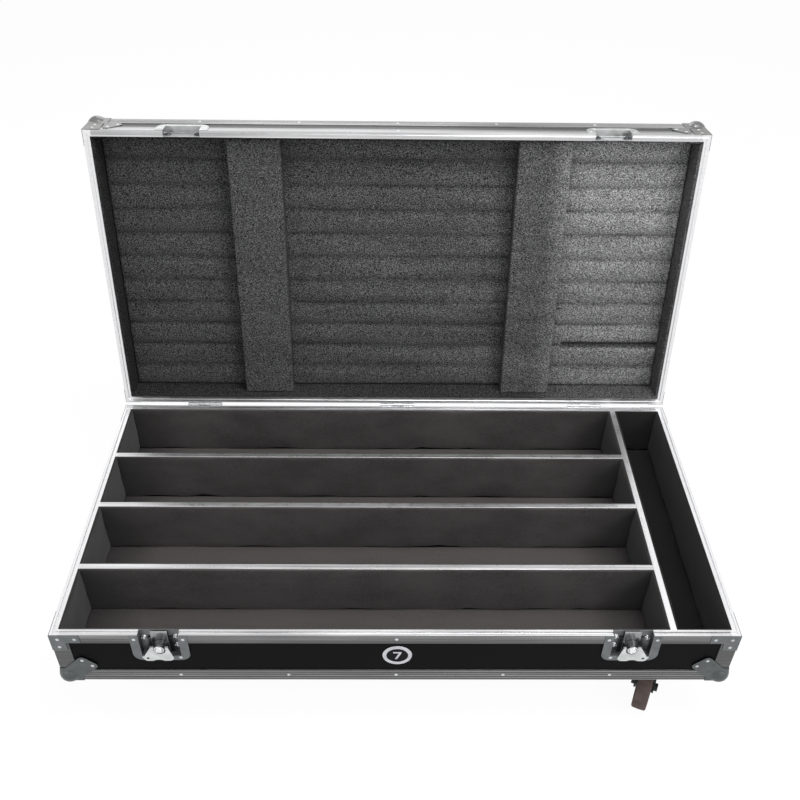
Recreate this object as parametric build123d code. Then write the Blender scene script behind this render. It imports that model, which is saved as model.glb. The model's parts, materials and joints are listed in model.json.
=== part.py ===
from build123d import *

import math
import os

# A lighting flight case: a shallow lined base with four long bays and one side bay, a foam lined lid,
# aluminium edging, recessed twist latches, drop handles and four swivel castors. Millimetres.
#
# The case is laid out with X to the right along the front, Y from the front face to the back face and
# Z up from the underside. The lid is drawn closed and then swung open about its hinge pins. At the end
# everything is moved so that the origin is under the middle of the open case, on the floor.

# Overall case, without castors and handles
case_length = 1220.0
case_depth = 620.0
base_height = 134.0
lid_height = 78.0
lid_open_angle = 98.0
rim_gap = 0.4

# Panels and aluminium edging
panel_thickness = 10.0
edging_skin = 1.5
edge_leg = 30.0
groove_depth = 0.5
groove_width = 2.0
groove_pitch = 6.5
grooves_per_leg = 3
rim_outer_leg = 23.0
rim_inner_leg = 10.0
rim_web = 4.5
rim_groove_width = 4.6
rim_groove_depth = 2.8
rim_tongue_width = 3.4
rim_tongue_height = 2.0
rim_taper = 0.6

# Dividers and lining
divider_centres_y = (154.6, 313.5, 458.0)
side_bay_width = 98.25
divider_thickness = 9.0
channel_skin = 1.25
channel_leg = 12.0
lining_thickness = 3.5
lining_top_gap = 1.0

# Lid foam
wall_foam_thickness = 5.0
wall_foam_edge_gap = 3.0
foam_sheet_thickness = 16.0
foam_ridge_count = 11
foam_ridge_height = 2.5
foam_block_left_inset = 325.0
foam_block_right_inset = 317.0
foam_block_width = 107.0
foam_block_edge_gap = 15.0
foam_clearance = 0.3

# Corners, braces and rivets
corner_square = 37.0
corner_lobe_near = 44.0
corner_lobe_far = 60.0
corner_lobe_radius = 9.0
corner_root_near = 10.0
corner_root_radius = 2.0
corner_skin = 1.2
ball_radius = 20.5
ball_inset = 11.8
brace_length = 52.0
brace_drop = 42.0
brace_arm = 21.0
brace_leg = 26.0
lid_brace_leg = 32.0
brace_rivet_inset = 9.0
rivet_radius = 3.2
rivet_height = 1.3
edge_rivet_spacing = 197.0

# Twist latches
latch_end_inset = 190.0
latch_flange_width = 102.0
latch_base_drop = 71.5
latch_lid_rise = 38.0
latch_flange_radius = 18.0
latch_pocket_width = 72.0
latch_base_pocket = 60.0
latch_lid_pocket = 28.0
latch_skin = 1.2
latch_rivet_inset = 8.0
latch_far_rivet_inset = 18.0
latch_lid_rivet_inset = 6.0
latch_hub_drop = 30.0
latch_hub_radius = 10.0
latch_hub_proud = 9.0
latch_travel = 15.5
latch_hook_reach = 3.6
latch_hook_gap = 0.5
latch_hook_clearance = 2.7
latch_hook_thickness = 2.0
latch_tongue_width = 30.0
latch_shaft_radius = 4.5
latch_stub_radius = 2.5
latch_wing_thickness = 3.2
latch_wing_lift = 3.4
latch_wing_pin_radius = 1.1
latch_plate = 1.5
latch_carrier_width = 44.0
latch_carrier_setback = 3.0
latch_carrier_margin = 12.0
wing_boss_radius = 15.5
wing_eye = (23.5, -28.0)
wing_eye_radius = 8.0
wing_heel = (14.0, -27.0)
wing_heel_radius = 8.5
wing_slot_drop = 4.7
wing_notch_radius = 16.0
wing_notch_rise = 3.6
padlock_hole_radius = 2.6
keeper_shelf_height = 3.0
keeper_shelf_overhang = 3.0

# Hinges
hinge_end_inset = 178.0
hinge_middle_x = 4.0
hinge_width = 74.0
hinge_leaf_thickness = 2.0
hinge_leaf_height = 20.0
hinge_pin_radius = 2.0
hinge_pin_head_radius = 3.0
hinge_pin_head_height = 1.5
hinge_knuckle_radius = 4.0
hinge_pin_setback = 5.0
hinge_gap = 0.6

# Castors
castor_inset_x = 111.0
castor_inset_y = 76.0
castor_height = 126.5
castor_plate_size = (100.0, 82.0)
castor_plate_thickness = 3.0
castor_plate_corner = 8.0
castor_bolt_spacing = (80.0, 60.0)
castor_bolt_radius = 3.5
castor_bolt_depth = 7.0
castor_bolt_head_radius = 7.0
castor_bolt_head_height = 4.0
castor_race_radius = 26.0
castor_race_height = 7.0
castor_bearing_gap = 0.2
castor_crown_radius = 30.0
castor_trail = 38.0
wheel_radius = 50.0
wheel_width = 27.0
wheel_shoulder = 3.0
wheel_boss_radius = 15.0
wheel_boss_clearance = 0.4
wheel_dish_depth = 6.0
tyre_thickness = 12.0
tyre_bevel = 2.0
fork_gap = 2.5
fork_thickness = 3.0
fork_eye_radius = 13.0
fork_web_depth = 19.0
fork_web_front_inset = 8.0
fork_web_back_inset = 6.0
fork_web_radius = 1.0
axle_radius = 5.0
axle_nut_radius = 8.5
axle_nut_height = 6.0
kingpin_radius = 6.0
kingpin_head_radius = 10.0
kingpin_head_height = 3.0

# Drop handles
handle_plate_length = 128.0
handle_plate_height = 58.0
handle_plate_thickness = 1.5
handle_plate_corner = 10.0
handle_bail_width = 96.0
handle_bail_drop = 38.0
handle_bend_radius = 12.0
handle_rod_radius = 4.0
handle_rod_gap = 1.5
handle_lug_thickness = 5.0
handle_lug_radius = 5.0
handle_lug_gap = 0.4
handle_pivot_radius = 2.5

# Fits
running_clearance = 0.05
free_clearance = 0.5

# How far a cutting body runs past what it cuts
overshoot = 3.0

# Sizes worked out from the ones above
half_length = case_length / 2
rim_width = edging_skin * 2 + panel_thickness
panel_face = edging_skin + panel_thickness
floor_top = edging_skin + panel_thickness
channel_width = divider_thickness + 2 * channel_skin
cross_divider_x = half_length - rim_width - side_bay_width - channel_width / 2
latch_centres_x = (-half_length + latch_end_inset, half_length - latch_end_inset)
hinge_centres_x = (-half_length + hinge_end_inset, hinge_middle_x, half_length - hinge_end_inset)
foam_block_centres_x = (-half_length + foam_block_left_inset, half_length - foam_block_right_inset)
bay_floor_top = floor_top + lining_thickness
hinge_axis_y = case_depth + hinge_pin_setback
hinge_axis_z = base_height + rim_gap / 2
lid_rim_z = base_height + rim_gap
lid_top_z = lid_rim_z + lid_height
lid_panel_inner_z = lid_top_z - floor_top
foam_face_z = lid_panel_inner_z - foam_sheet_thickness
castor_top_z = edging_skin
castor_axle_z = castor_top_z - castor_height + wheel_radius
castor_spots = {
    "front_left": (-half_length + castor_inset_x, castor_inset_y, 180.0),
    "front_right": (half_length - castor_inset_x, castor_inset_y, -23.5),
    "back_left": (-half_length + castor_inset_x, case_depth - castor_inset_y, 180.0),
    "back_right": (half_length - castor_inset_x, case_depth - castor_inset_y, 180.0),
}
latch_hub_z = base_height - latch_hub_drop
carrier_front = rim_width - latch_skin - latch_carrier_setback
tongue_back = carrier_front - free_clearance
tongue_front = tongue_back - latch_hook_thickness
tongue_top = base_height - rim_gap
keeper_shelf_front = tongue_front + latch_hook_reach + latch_hook_gap
keeper_shelf_top = tongue_top - latch_hook_thickness + latch_travel - latch_hook_clearance
keeper_shelf_z = keeper_shelf_top - keeper_shelf_height
wing_axis_y = -latch_wing_lift - latch_wing_thickness / 2
end_panel_middle_z = (edge_leg + base_height - rim_outer_leg) / 2
handle_pivot_x = half_length + handle_rod_radius + handle_rod_gap
handle_pivot_z = end_panel_middle_z + handle_bail_drop / 2


def block(x0, x1, y0, y1, z0, z1):
    """A box between two corners."""
    return Pos((x0 + x1) / 2, (y0 + y1) / 2, (z0 + z1) / 2) * Box(abs(x1 - x0), abs(y1 - y0), abs(z1 - z0))


def rod_x(radius, x0, x1, y, z):
    """A round bar along X."""
    return Pos((x0 + x1) / 2, y, z) * Rot(0, 90, 0) * Cylinder(radius, abs(x1 - x0))


def rod_y(radius, x, y0, y1, z):
    """A round bar along Y."""
    return Pos(x, (y0 + y1) / 2, z) * Rot(90, 0, 0) * Cylinder(radius, abs(y1 - y0))


def rod_z(radius, x, y, z0, z1):
    """A round bar along Z."""
    return Pos(x, y, (z0 + z1) / 2) * Cylinder(radius, abs(z1 - z0))


def run_along_x(section, length):
    """A section given as (inward, up) points, run along X and centred on X = 0."""
    face = Plane.YZ * make_face(Polyline(*section, close=True))
    return Pos(-length / 2, 0, 0) * extrude(face, length)


def round_the_case(make_side):
    """Four copies of a side that runs along X with its outer face at Y = 0: front, back, left, right."""
    front = make_side(case_length)
    end = make_side(case_depth)
    middle = case_depth / 2
    return [
        front,
        Pos(0, case_depth, 0) * Rot(0, 0, 180) * make_side(case_length),
        Pos(-half_length, middle, 0) * Rot(0, 0, -90) * end,
        Pos(half_length, middle, 0) * Rot(0, 0, 90) * make_side(case_depth),
    ]


def mitred(section, length):
    """An edging length whose two ends are cut at 45 degrees to meet the next side."""
    reach = max(point[0] for point in section)
    low = min(point[1] for point in section)
    high = max(point[1] for point in section)
    near, far = -overshoot, reach + overshoot
    wide, narrow = length / 2 - near, length / 2 - far
    outline = Polyline((-wide, near), (wide, near), (narrow, far), (-narrow, far), close=True)
    wedge = Pos(0, 0, low - overshoot) * extrude(make_face(outline), high - low + 2 * overshoot)
    return run_along_x(section, length + 2 * overshoot) & wedge


def grooved_angle_section(up):
    """An angle section, (inward, height) points. Shallow grooves run along its upright leg, and up is
    +1 for a bottom edge and -1 for a top edge."""
    points = [(edge_leg, 0.0), (0.0, 0.0)]
    first = (edge_leg - (grooves_per_leg - 1) * groove_pitch) / 2
    for index in range(grooves_per_leg):
        middle = first + index * groove_pitch
        low, high = middle - groove_width / 2, middle + groove_width / 2
        points += [(0.0, low), (groove_depth, low), (groove_depth, high), (0.0, high)]
    points += [(0.0, edge_leg), (edging_skin, edge_leg), (edging_skin, edging_skin), (edge_leg, edging_skin)]
    return [(inward, up * height) for inward, height in points]


def rim_section(lid):
    """The rim extrusion over a panel's edge. The base has a groove and the lid has the tongue that
    drops into it. Heights run from the rim plane into the panel."""
    middle = rim_width / 2
    sign = 1.0 if lid else -1.0
    half = (rim_tongue_width if lid else rim_groove_width) / 2
    depth = rim_tongue_height if lid else -rim_groove_depth
    points = [
        (0.0, 0.0),
        (middle - half, 0.0),
        (middle - half + rim_taper, -depth),
        (middle + half - rim_taper, -depth),
        (middle + half, 0.0),
        (rim_width, 0.0),
        (rim_width, rim_inner_leg),
        (panel_face, rim_inner_leg),
        (panel_face, rim_web),
        (edging_skin, rim_web),
        (edging_skin, rim_outer_leg),
        (0.0, rim_outer_leg),
    ]
    return [(inward, sign * height) for inward, height in points]


def latch_gap(x, lid):
    """The space that a latch pocket needs through a front wall."""
    half = latch_pocket_width / 2
    if lid:
        low, high = lid_rim_z - overshoot, lid_rim_z + latch_lid_pocket
    else:
        low, high = base_height - latch_base_pocket, base_height + overshoot
    return block(x - half, x + half, -overshoot, rim_width, low, high)


def castor_bolt_places():
    """Where each castor's four bolts stand."""
    step_x, step_y = castor_bolt_spacing
    return [
        (x + i * step_x / 2, y + j * step_y / 2)
        for x, y, _ in castor_spots.values()
        for i in (-1, 1)
        for j in (-1, 1)
    ]


def base_panels():
    """The five laminated panels of the base. The walls stand on the floor panel."""
    top = base_height - rim_web
    inner_x = half_length - panel_face
    front = block(-inner_x, inner_x, edging_skin, panel_face, floor_top, top)
    back = block(-inner_x, inner_x, case_depth - panel_face, case_depth - edging_skin, floor_top, top)
    for x in latch_centres_x:
        front -= latch_gap(x, lid=False)
    outer_x = half_length - edging_skin
    outer_y = case_depth - edging_skin
    sides = [
        block(side * outer_x, side * inner_x, edging_skin, outer_y, floor_top, top) for side in (-1, 1)
    ]
    floor = block(-outer_x, outer_x, edging_skin, outer_y, edging_skin, floor_top)
    hole = castor_bolt_radius + running_clearance
    for x, y in castor_bolt_places():
        floor -= rod_z(hole, x, y, edging_skin - overshoot, edging_skin + castor_bolt_depth)
    return {
        "base_front_panel": front,
        "base_back_panel": back,
        "base_left_panel": sides[0],
        "base_right_panel": sides[1],
        "base_floor_panel": floor,
    }


def lid_panels():
    """The lid's top panel and its walls, drawn closed."""
    bottom = lid_rim_z + rim_web
    inner_x = half_length - panel_face
    outer_x = half_length - edging_skin
    outer_y = case_depth - edging_skin
    top = block(-outer_x, outer_x, edging_skin, outer_y, lid_panel_inner_z, lid_top_z - edging_skin)
    front = block(-inner_x, inner_x, edging_skin, panel_face, bottom, lid_panel_inner_z)
    for x in latch_centres_x:
        front -= latch_gap(x, lid=True)
    back = block(-inner_x, inner_x, case_depth - panel_face, outer_y, bottom, lid_panel_inner_z)
    sides = [
        block(side * outer_x, side * inner_x, edging_skin, outer_y, bottom, lid_panel_inner_z)
        for side in (-1, 1)
    ]
    return {"lid_top_panel": top, "lid_front_wall": front, "lid_back_wall": back, "lid_side_walls": sides}


def rim_edging(lid):
    """The four mitred rim extrusions of the base or the lid. The front one is cut for the latches."""
    plane = lid_rim_z if lid else base_height
    sides = [Pos(0, 0, plane) * side for side in round_the_case(lambda size: mitred(rim_section(lid), size))]
    for x in latch_centres_x:
        sides[0] -= latch_gap(x, lid)
    return [piece for side in sides for piece in side.solids()]


def edge_angles(lid):
    """The four mitred angles along the outer edge of the floor or of the lid's top."""
    plane = lid_top_z if lid else 0.0
    section = grooved_angle_section(-1 if lid else 1)
    return [Pos(0, 0, plane) * side for side in round_the_case(lambda size: mitred(section, size))]


def corner_angles(lid):
    """The four upright angles between the rim extrusion and the edge angle."""
    if lid:
        low, high = lid_rim_z + rim_outer_leg, lid_top_z - edge_leg
    else:
        low, high = edge_leg, base_height - rim_outer_leg
    pieces = []
    for side_x in (-1, 1):
        for side_y in (-1, 1):
            x0 = side_x * half_length
            y0 = 0 if side_y < 0 else case_depth
            across = block(x0, x0 - side_x * edge_leg, y0, y0 - side_y * edging_skin, low, high)
            along = block(x0, x0 - side_x * edging_skin, y0, y0 - side_y * edge_leg, low, high)
            pieces.append((across + along).solid())
    return pieces


def ball_corner_leaf(lobed, root):
    """A ball corner's outline on one face: a square at the corner, and a lobe that holds two rivets. The
    lobe leaves the square between root and the square's far corner on each side."""
    size = corner_square + corner_skin
    middle = (corner_square - corner_skin) / 2
    leaf = Pos(middle, middle) * Rectangle(size, size)
    if lobed:
        spots = ((corner_lobe_near, corner_lobe_far), (corner_lobe_far, corner_lobe_near))
        far = corner_square - corner_root_radius
        circles = Pos(root, far) * Circle(corner_root_radius) + Pos(far, root) * Circle(corner_root_radius)
        for spot in spots:
            circles += Pos(*spot) * Circle(corner_lobe_radius)
        leaf += make_hull(circles.edges())
    return leaf


def ball_corner(lid):
    """A pressed ball corner for the corner at the origin, with the case in +X, +Y, +Z. A skin follows
    the three faces and swells into a ball. Under the base the lobe is left out for the castor, and on
    the lid its root is narrow, beside the rim's corner brace."""
    root = corner_square - corner_root_radius if lid else corner_root_near
    below = extrude(ball_corner_leaf(lid, root), -corner_skin)
    skin = extrude(ball_corner_leaf(True, root), -corner_skin)
    shell = (
        Plane.XY * below
        + Plane(origin=(0, 0, 0), x_dir=(0, 1, 0), z_dir=(1, 0, 0)) * skin
        + Plane(origin=(0, 0, 0), x_dir=(0, 0, 1), z_dir=(0, 1, 0)) * skin
    )
    ball = Pos(ball_inset, ball_inset, ball_inset) * Sphere(ball_radius)
    reach = corner_lobe_far + 2 * corner_lobe_radius
    case = block(0, reach, 0, reach, 0, reach)
    return (shell + ball - case).solids().sort_by(SortBy.VOLUME)[-1]


def ball_corners(lid):
    """One ball corner on each outer corner of the base or the lid."""
    piece = ball_corner(lid)
    if lid:
        piece = Pos(0, 0, lid_top_z) * mirror(piece, Plane.XY)
    left = Pos(-half_length, 0, 0) * piece
    right = mirror(left, Plane.YZ)
    flip = Plane(origin=(0, case_depth / 2, 0), z_dir=(0, 1, 0))
    return [left, right, mirror(left, flip), mirror(right, flip)]


def corner_braces(lid):
    """A folded plate over each rim corner. On the base it has an arm along the rim and a leg down the
    corner on each face. The lid is shallower, and its braces stop short of the ball corners."""
    if lid:
        arm = leg = (lid_rim_z + rim_gap, lid_rim_z + lid_height - corner_square - rim_gap)
        arm_reach = leg_reach = lid_brace_leg
    else:
        arm = (base_height - brace_arm, base_height - rim_gap)
        leg = (base_height - brace_drop, base_height - rim_gap)
        arm_reach, leg_reach = brace_length, brace_leg
    pieces = []
    for side_x in (-1, 1):
        for side_y in (-1, 1):
            x0 = side_x * half_length
            y0 = 0 if side_y < 0 else case_depth
            out_x = x0 + side_x * corner_skin
            out_y = y0 + side_y * corner_skin
            on_y = block(out_x, x0 - side_x * arm_reach, out_y, y0, *arm)
            on_y += block(out_x, x0 - side_x * leg_reach, out_y, y0, *leg)
            on_x = block(out_x, x0, out_y, y0 - side_y * arm_reach, *arm)
            on_x += block(out_x, x0, out_y, y0 - side_y * leg_reach, *leg)
            pieces.append((on_y + on_x).solid())
    return pieces


def brace_rivet_spots(lid):
    """Rivet places over one brace on one face, as (from the corner, height)."""
    if lid:
        low = lid_rim_z + rim_outer_leg / 2
        high = lid_top_z - corner_square - brace_rivet_inset
        return (lid_brace_leg / 2, low), (lid_brace_leg / 2, high)
    rim_z = base_height - rim_outer_leg / 2
    low = base_height - brace_drop + brace_rivet_inset
    return (brace_leg / 2, rim_z), (brace_length - brace_rivet_inset, rim_z), (brace_leg / 2, low)


def rivet(x, y, z, toward):
    """A domed rivet head on a face. toward is the outward direction of that face."""
    dome_radius = (rivet_radius**2 + rivet_height**2) / (2 * rivet_height)
    dome = Pos(0, 0, rivet_height - dome_radius) * Sphere(dome_radius)
    head = dome & Pos(0, 0, rivet_height / 2) * Cylinder(rivet_radius, rivet_height)
    return (Plane(origin=(x, y, z), z_dir=toward) * head).solid()


def spread(length, spacing):
    """Evenly spaced places along a side, the middle one at 0, leaving room for the corners."""
    room = length / 2 - corner_lobe_far - corner_lobe_radius - rivet_radius
    count = int(room // spacing)
    return [index * spacing for index in range(-count, count + 1)]


def edge_rivets(lid):
    """Every rivet of the base or of the lid: along the edge angle and the rim, over the corner braces,
    through the ball corners' lobes and round the latches."""
    if lid:
        edge_z, rim_z = lid_top_z - edge_leg / 2, lid_rim_z + rim_outer_leg / 2
    else:
        edge_z, rim_z = edge_leg / 2, base_height - rim_outer_leg / 2
    heads = []
    for side_y, y in ((-1, 0.0), (1, case_depth)):
        for x in spread(case_length, edge_rivet_spacing):
            heads.append(rivet(x, y, edge_z, (0, side_y, 0)))
        clear_x = 0.0 if side_y < 0 else edge_rivet_spacing
        heads.append(rivet(clear_x, y, rim_z, (0, side_y, 0)))
    for side_x in (-1, 1):
        for y in spread(case_depth, edge_rivet_spacing):
            heads.append(rivet(side_x * half_length, case_depth / 2 + y, edge_z, (side_x, 0, 0)))
    return heads + corner_rivets(lid) + latch_rivets(lid)


def corner_rivets(lid):
    """The rivets of the corner braces and of the ball corners."""
    lobes = ((corner_lobe_near, corner_lobe_far), (corner_lobe_far, corner_lobe_near))
    spots = list(brace_rivet_spots(lid))
    spots += [(along, lid_top_z - up if lid else up) for along, up in lobes]
    heads = []
    for side_x in (-1, 1):
        for side_y, y0 in ((-1, 0.0), (1, case_depth)):
            x0 = side_x * half_length
            face_x = x0 + side_x * corner_skin
            face_y = y0 + side_y * corner_skin
            for along, z in spots:
                heads.append(rivet(x0 - side_x * along, face_y, z, (0, side_y, 0)))
                heads.append(rivet(face_x, y0 - side_y * along, z, (side_x, 0, 0)))
            if lid:
                for along, inward in lobes:
                    place = (x0 - side_x * along, y0 - side_y * inward, lid_top_z + corner_skin)
                    heads.append(rivet(*place, (0, 0, 1)))
    return heads


def dividers():
    """Three long dividers, and the cross divider that closes their right ends."""
    low, high = floor_top, base_height - channel_skin
    left = -half_length + rim_width
    right = cross_divider_x - channel_width / 2
    half = divider_thickness / 2
    names = ("long_divider_front", "long_divider_middle", "long_divider_back")
    parts = {
        name: block(left, right, y - half, y + half, low, high) for name, y in zip(names, divider_centres_y)
    }
    front, back = rim_width, case_depth - rim_width
    parts["cross_divider"] = block(cross_divider_x - half, cross_divider_x + half, front, back, low, high)
    return parts


def channel(x0, x1, y0, y1, along_x):
    """A U channel turned over the top edge of a divider."""
    shell = block(x0, x1, y0, y1, base_height - channel_leg, base_height)
    trim_x = 0 if along_x else channel_skin
    trim_y = channel_skin if along_x else 0
    low, high = base_height - channel_leg, base_height - channel_skin
    core = block(x0 + trim_x, x1 - trim_x, y0 + trim_y, y1 - trim_y, low, high)
    return (shell - core).solid()


def divider_channels():
    """The channels on the four dividers."""
    half = channel_width / 2
    left, right = -half_length + rim_width, cross_divider_x - half
    pieces = [channel(left, right, y - half, y + half, True) for y in divider_centres_y]
    front, back = rim_width, case_depth - rim_width
    pieces.append(channel(cross_divider_x - half, cross_divider_x + half, front, back, False))
    return pieces


def bay_spans():
    """Front and back limits of the long bays, between the channels' sides."""
    half = channel_width / 2
    fronts = [rim_width] + [y + half for y in divider_centres_y]
    backs = [y - half for y in divider_centres_y] + [case_depth - rim_width]
    return list(zip(fronts, backs))


def bay_lining(x0, x1, y0, y1):
    """A lining glued to one bay's floor and walls, as one open tray."""
    top = base_height - lining_top_gap
    t = lining_thickness
    tray = block(x0, x1, y0, y1, floor_top, top)
    return (tray - block(x0 + t, x1 - t, y0 + t, y1 - t, bay_floor_top, top + overshoot)).solid()


def linings():
    """The linings of the four long bays and of the side bay."""
    half = channel_width / 2
    left, right = -half_length + rim_width, cross_divider_x - half
    long_bays = [bay_lining(left, right, y0, y1) for y0, y1 in bay_spans()]
    side = bay_lining(cross_divider_x + half, half_length - rim_width, rim_width, case_depth - rim_width)
    return {"long_bay_linings": long_bays, "side_bay_lining": side}


def lid_wall_lining():
    """The foam strip round the inside of the lid's walls."""
    low, high = lid_rim_z + wall_foam_edge_gap, lid_panel_inner_z
    inner = rim_width + wall_foam_thickness
    outer_x, outer_back = half_length - rim_width, case_depth - rim_width
    ring = block(-outer_x, outer_x, rim_width, outer_back, low, high)
    hole_x, hole_back = half_length - inner, case_depth - inner
    ring -= block(-hole_x, hole_x, inner, hole_back, low - overshoot, high + overshoot)
    return ring.solid()


def foam_sheet():
    """The foam sheet on the lid's inside, with soft ridges along the case, left by the long fixtures."""
    front = rim_width + wall_foam_thickness + foam_clearance
    back = case_depth - front
    pitch = (back - front) / foam_ridge_count
    curves = []
    for index in range(foam_ridge_count):
        start = front + index * pitch
        middle = (start + pitch / 2, foam_face_z - foam_ridge_height)
        curves.append(ThreePointArc((start, foam_face_z), middle, (start + pitch, foam_face_z)))
    curves.append(Line((back, foam_face_z), (back, lid_panel_inner_z)))
    curves.append(Line((back, lid_panel_inner_z), (front, lid_panel_inner_z)))
    curves.append(Line((front, lid_panel_inner_z), (front, foam_face_z)))
    length = 2 * (half_length - front)
    face = Plane.YZ * make_face(Curve() + curves)
    return Pos(-length / 2, 0, 0) * extrude(face, length)


def foam_blocks():
    """The two foam blocks that press on the fixtures when the lid is shut."""
    inner = rim_width + wall_foam_thickness + foam_clearance
    low = lid_rim_z + foam_block_edge_gap
    half = foam_block_width / 2
    high = foam_face_z - foam_ridge_height - foam_clearance
    names = ("lid_foam_block_left", "lid_foam_block_right")
    return {
        name: block(x - half, x + half, inner, case_depth - inner, low, high)
        for name, x in zip(names, foam_block_centres_x)
    }


def latch_outline(height):
    """A latch flange: square corners at the rim and rounded ones away from it, hanging below Y = 0."""
    half = latch_flange_width / 2
    r = latch_flange_radius
    diagonal = r * (1 - math.sqrt(0.5))
    return make_face(
        Curve()
        + [
            Line((-half, 0), (half, 0)),
            Line((half, 0), (half, -height + r)),
            ThreePointArc((half, -height + r), (half - diagonal, -height + diagonal), (half - r, -height)),
            Line((half - r, -height), (-half + r, -height)),
            ThreePointArc((-half + r, -height), (-half + diagonal, -height + diagonal), (-half, -height + r)),
            Line((-half, -height + r), (-half, 0)),
        ]
    )


def latch_shell(height, pocket):
    """A pressed latch half at the origin: a flange on the front face, hanging down from the rim plane,
    and an open-topped pocket behind it."""
    face = Plane(origin=(0, 0, 0), x_dir=(1, 0, 0), z_dir=(0, -1, 0)) * latch_outline(height)
    flange = extrude(face, latch_skin)
    half = latch_pocket_width / 2
    box = block(-half, half, -latch_skin, rim_width, -pocket, 0)
    inner = half - latch_skin
    front, back = -latch_skin - overshoot, rim_width - latch_skin
    hollow = block(-inner, inner, front, back, -pocket + latch_skin, overshoot)
    return (flange + box) - hollow


def latch_dishes():
    """The base halves of the two latches."""
    dish = Pos(0, 0, base_height) * latch_shell(latch_base_drop, latch_base_pocket)
    return [(Pos(x, 0, 0) * dish).solid() for x in latch_centres_x]


def latch_keepers():
    """The lid halves of the two latches, each with the shelf that the hook pulls down on."""
    shell = Pos(0, 0, lid_rim_z) * mirror(latch_shell(latch_lid_rise, latch_lid_pocket), Plane.XY)
    half = latch_tongue_width / 2 + keeper_shelf_overhang
    back = rim_width - latch_skin
    shelf = block(-half, half, keeper_shelf_front, back, keeper_shelf_z, keeper_shelf_z + keeper_shelf_height)
    keeper = shell + shelf
    return [(Pos(x, 0, 0) * keeper).solid() for x in latch_centres_x]


def latch_rivets(lid):
    """Rivets at the corners of each latch flange."""
    if lid:
        near, far = lid_rim_z + rim_outer_leg / 2, lid_rim_z + latch_lid_rise - latch_lid_rivet_inset
    else:
        near, far = base_height - rim_outer_leg / 2, base_height - latch_base_drop + latch_rivet_inset
    half = latch_flange_width / 2
    spots = ((half - latch_rivet_inset, near), (half - latch_far_rivet_inset, far))
    return [
        rivet(x + side * across, -latch_skin, up, (0, -1, 0))
        for x in latch_centres_x
        for side in (-1, 1)
        for across, up in spots
    ]


def latch_bracket():
    """The bearing bracket riveted in the pocket, which the hub turns in and the tongue slides on."""
    half = latch_carrier_width / 2
    back = rim_width - latch_skin
    low = base_height - latch_base_pocket + latch_skin
    top = latch_hub_z + latch_carrier_margin
    bracket = block(-half, half, carrier_front, back, low, top)
    inner = half - latch_plate
    behind = carrier_front + latch_plate
    bracket -= block(-inner, inner, behind, back + overshoot, low - overshoot, top + overshoot)
    bracket -= rod_y(latch_stub_radius + running_clearance, 0, carrier_front - overshoot, back, latch_hub_z)
    return bracket.solid()


def latch_hub():
    """The turning hub, with its shaft through the tongue and a cross hole for the wing's two pins."""
    hub = rod_y(latch_hub_radius, 0, -latch_hub_proud, tongue_front - free_clearance, latch_hub_z)
    hub += rod_y(latch_shaft_radius, 0, 0, carrier_front - running_clearance, latch_hub_z)
    hub += rod_y(latch_stub_radius, 0, 0, carrier_front + latch_plate, latch_hub_z)
    pin_hole = latch_wing_pin_radius + running_clearance
    reach = latch_hub_radius + overshoot
    hub -= rod_x(pin_hole, -reach, reach, wing_axis_y, latch_hub_z)
    return hub.solid()


def latch_wing(side):
    """The folding wing, whose padlock eye is on the given side. It straddles the hub and turns on two
    pins, so it can fold out square to the front."""
    eye = (side * wing_eye[0], wing_eye[1])
    heel = (-side * wing_heel[0], wing_heel[1])
    circles = Circle(wing_boss_radius)
    circles += Pos(*eye) * Circle(wing_eye_radius)
    circles += Pos(*heel) * Circle(wing_heel_radius)
    top = latch_wing_pin_radius + latch_plate
    above = Pos(0, top + wing_boss_radius) * Rectangle(4 * wing_boss_radius, 2 * wing_boss_radius)
    outline = make_hull(circles.edges()) - above
    slot = latch_hub_radius + free_clearance
    outline -= Circle(slot) + Pos(0, -wing_slot_drop) * Circle(slot)
    outline -= Pos(0, -wing_slot_drop / 2) * Rectangle(2 * slot, wing_slot_drop)
    outline -= Pos(*eye) * Circle(padlock_hole_radius)
    notch_y = wing_eye[1] - wing_eye_radius + wing_notch_rise - wing_notch_radius
    outline -= Pos((eye[0] + heel[0]) / 2, notch_y) * Circle(wing_notch_radius)
    face = Plane(origin=(0, -latch_wing_lift, latch_hub_z), x_dir=(1, 0, 0), z_dir=(0, -1, 0))
    wing = extrude(face * outline, latch_wing_thickness)
    pin_in = latch_hub_radius / 2
    pin_out = latch_hub_radius + 2 * free_clearance
    for way in (-1, 1):
        wing += rod_x(latch_wing_pin_radius, way * pin_in, way * pin_out, wing_axis_y, latch_hub_z)
    return wing.solid()


def latch_tongue():
    """The hook plate that rises out of the pocket as the hub turns. It straddles the hub's shaft."""
    half = latch_tongue_width / 2
    low = base_height - latch_base_pocket + latch_skin + free_clearance
    plate = block(-half, half, tongue_front, tongue_back, low, tongue_top)
    hook_back = tongue_front + latch_hook_reach
    plate += block(-half, half, tongue_front, hook_back, tongue_top - latch_hook_thickness, tongue_top)
    slot = latch_shaft_radius + free_clearance
    front, back = tongue_front - overshoot, tongue_back + overshoot
    plate -= block(-slot, slot, front, back, low - overshoot, latch_hub_z)
    plate -= rod_y(slot, 0, front, back, latch_hub_z)
    return plate.solid()


def latch_parts():
    """Bearing brackets, and the hub, wing and tongue of each latch."""
    parts = {"latch_brackets": [Pos(x, 0, 0) * latch_bracket() for x in latch_centres_x]}
    for name, x, side in zip(("left", "right"), latch_centres_x, (-1, 1)):
        parts[f"latch_hub_{name}"] = Pos(x, 0, 0) * latch_hub()
        parts[f"latch_wing_{name}"] = Pos(x, 0, 0) * latch_wing(side)
        parts[f"latch_tongue_{name}"] = Pos(x, 0, 0) * latch_tongue()
    return parts


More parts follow.
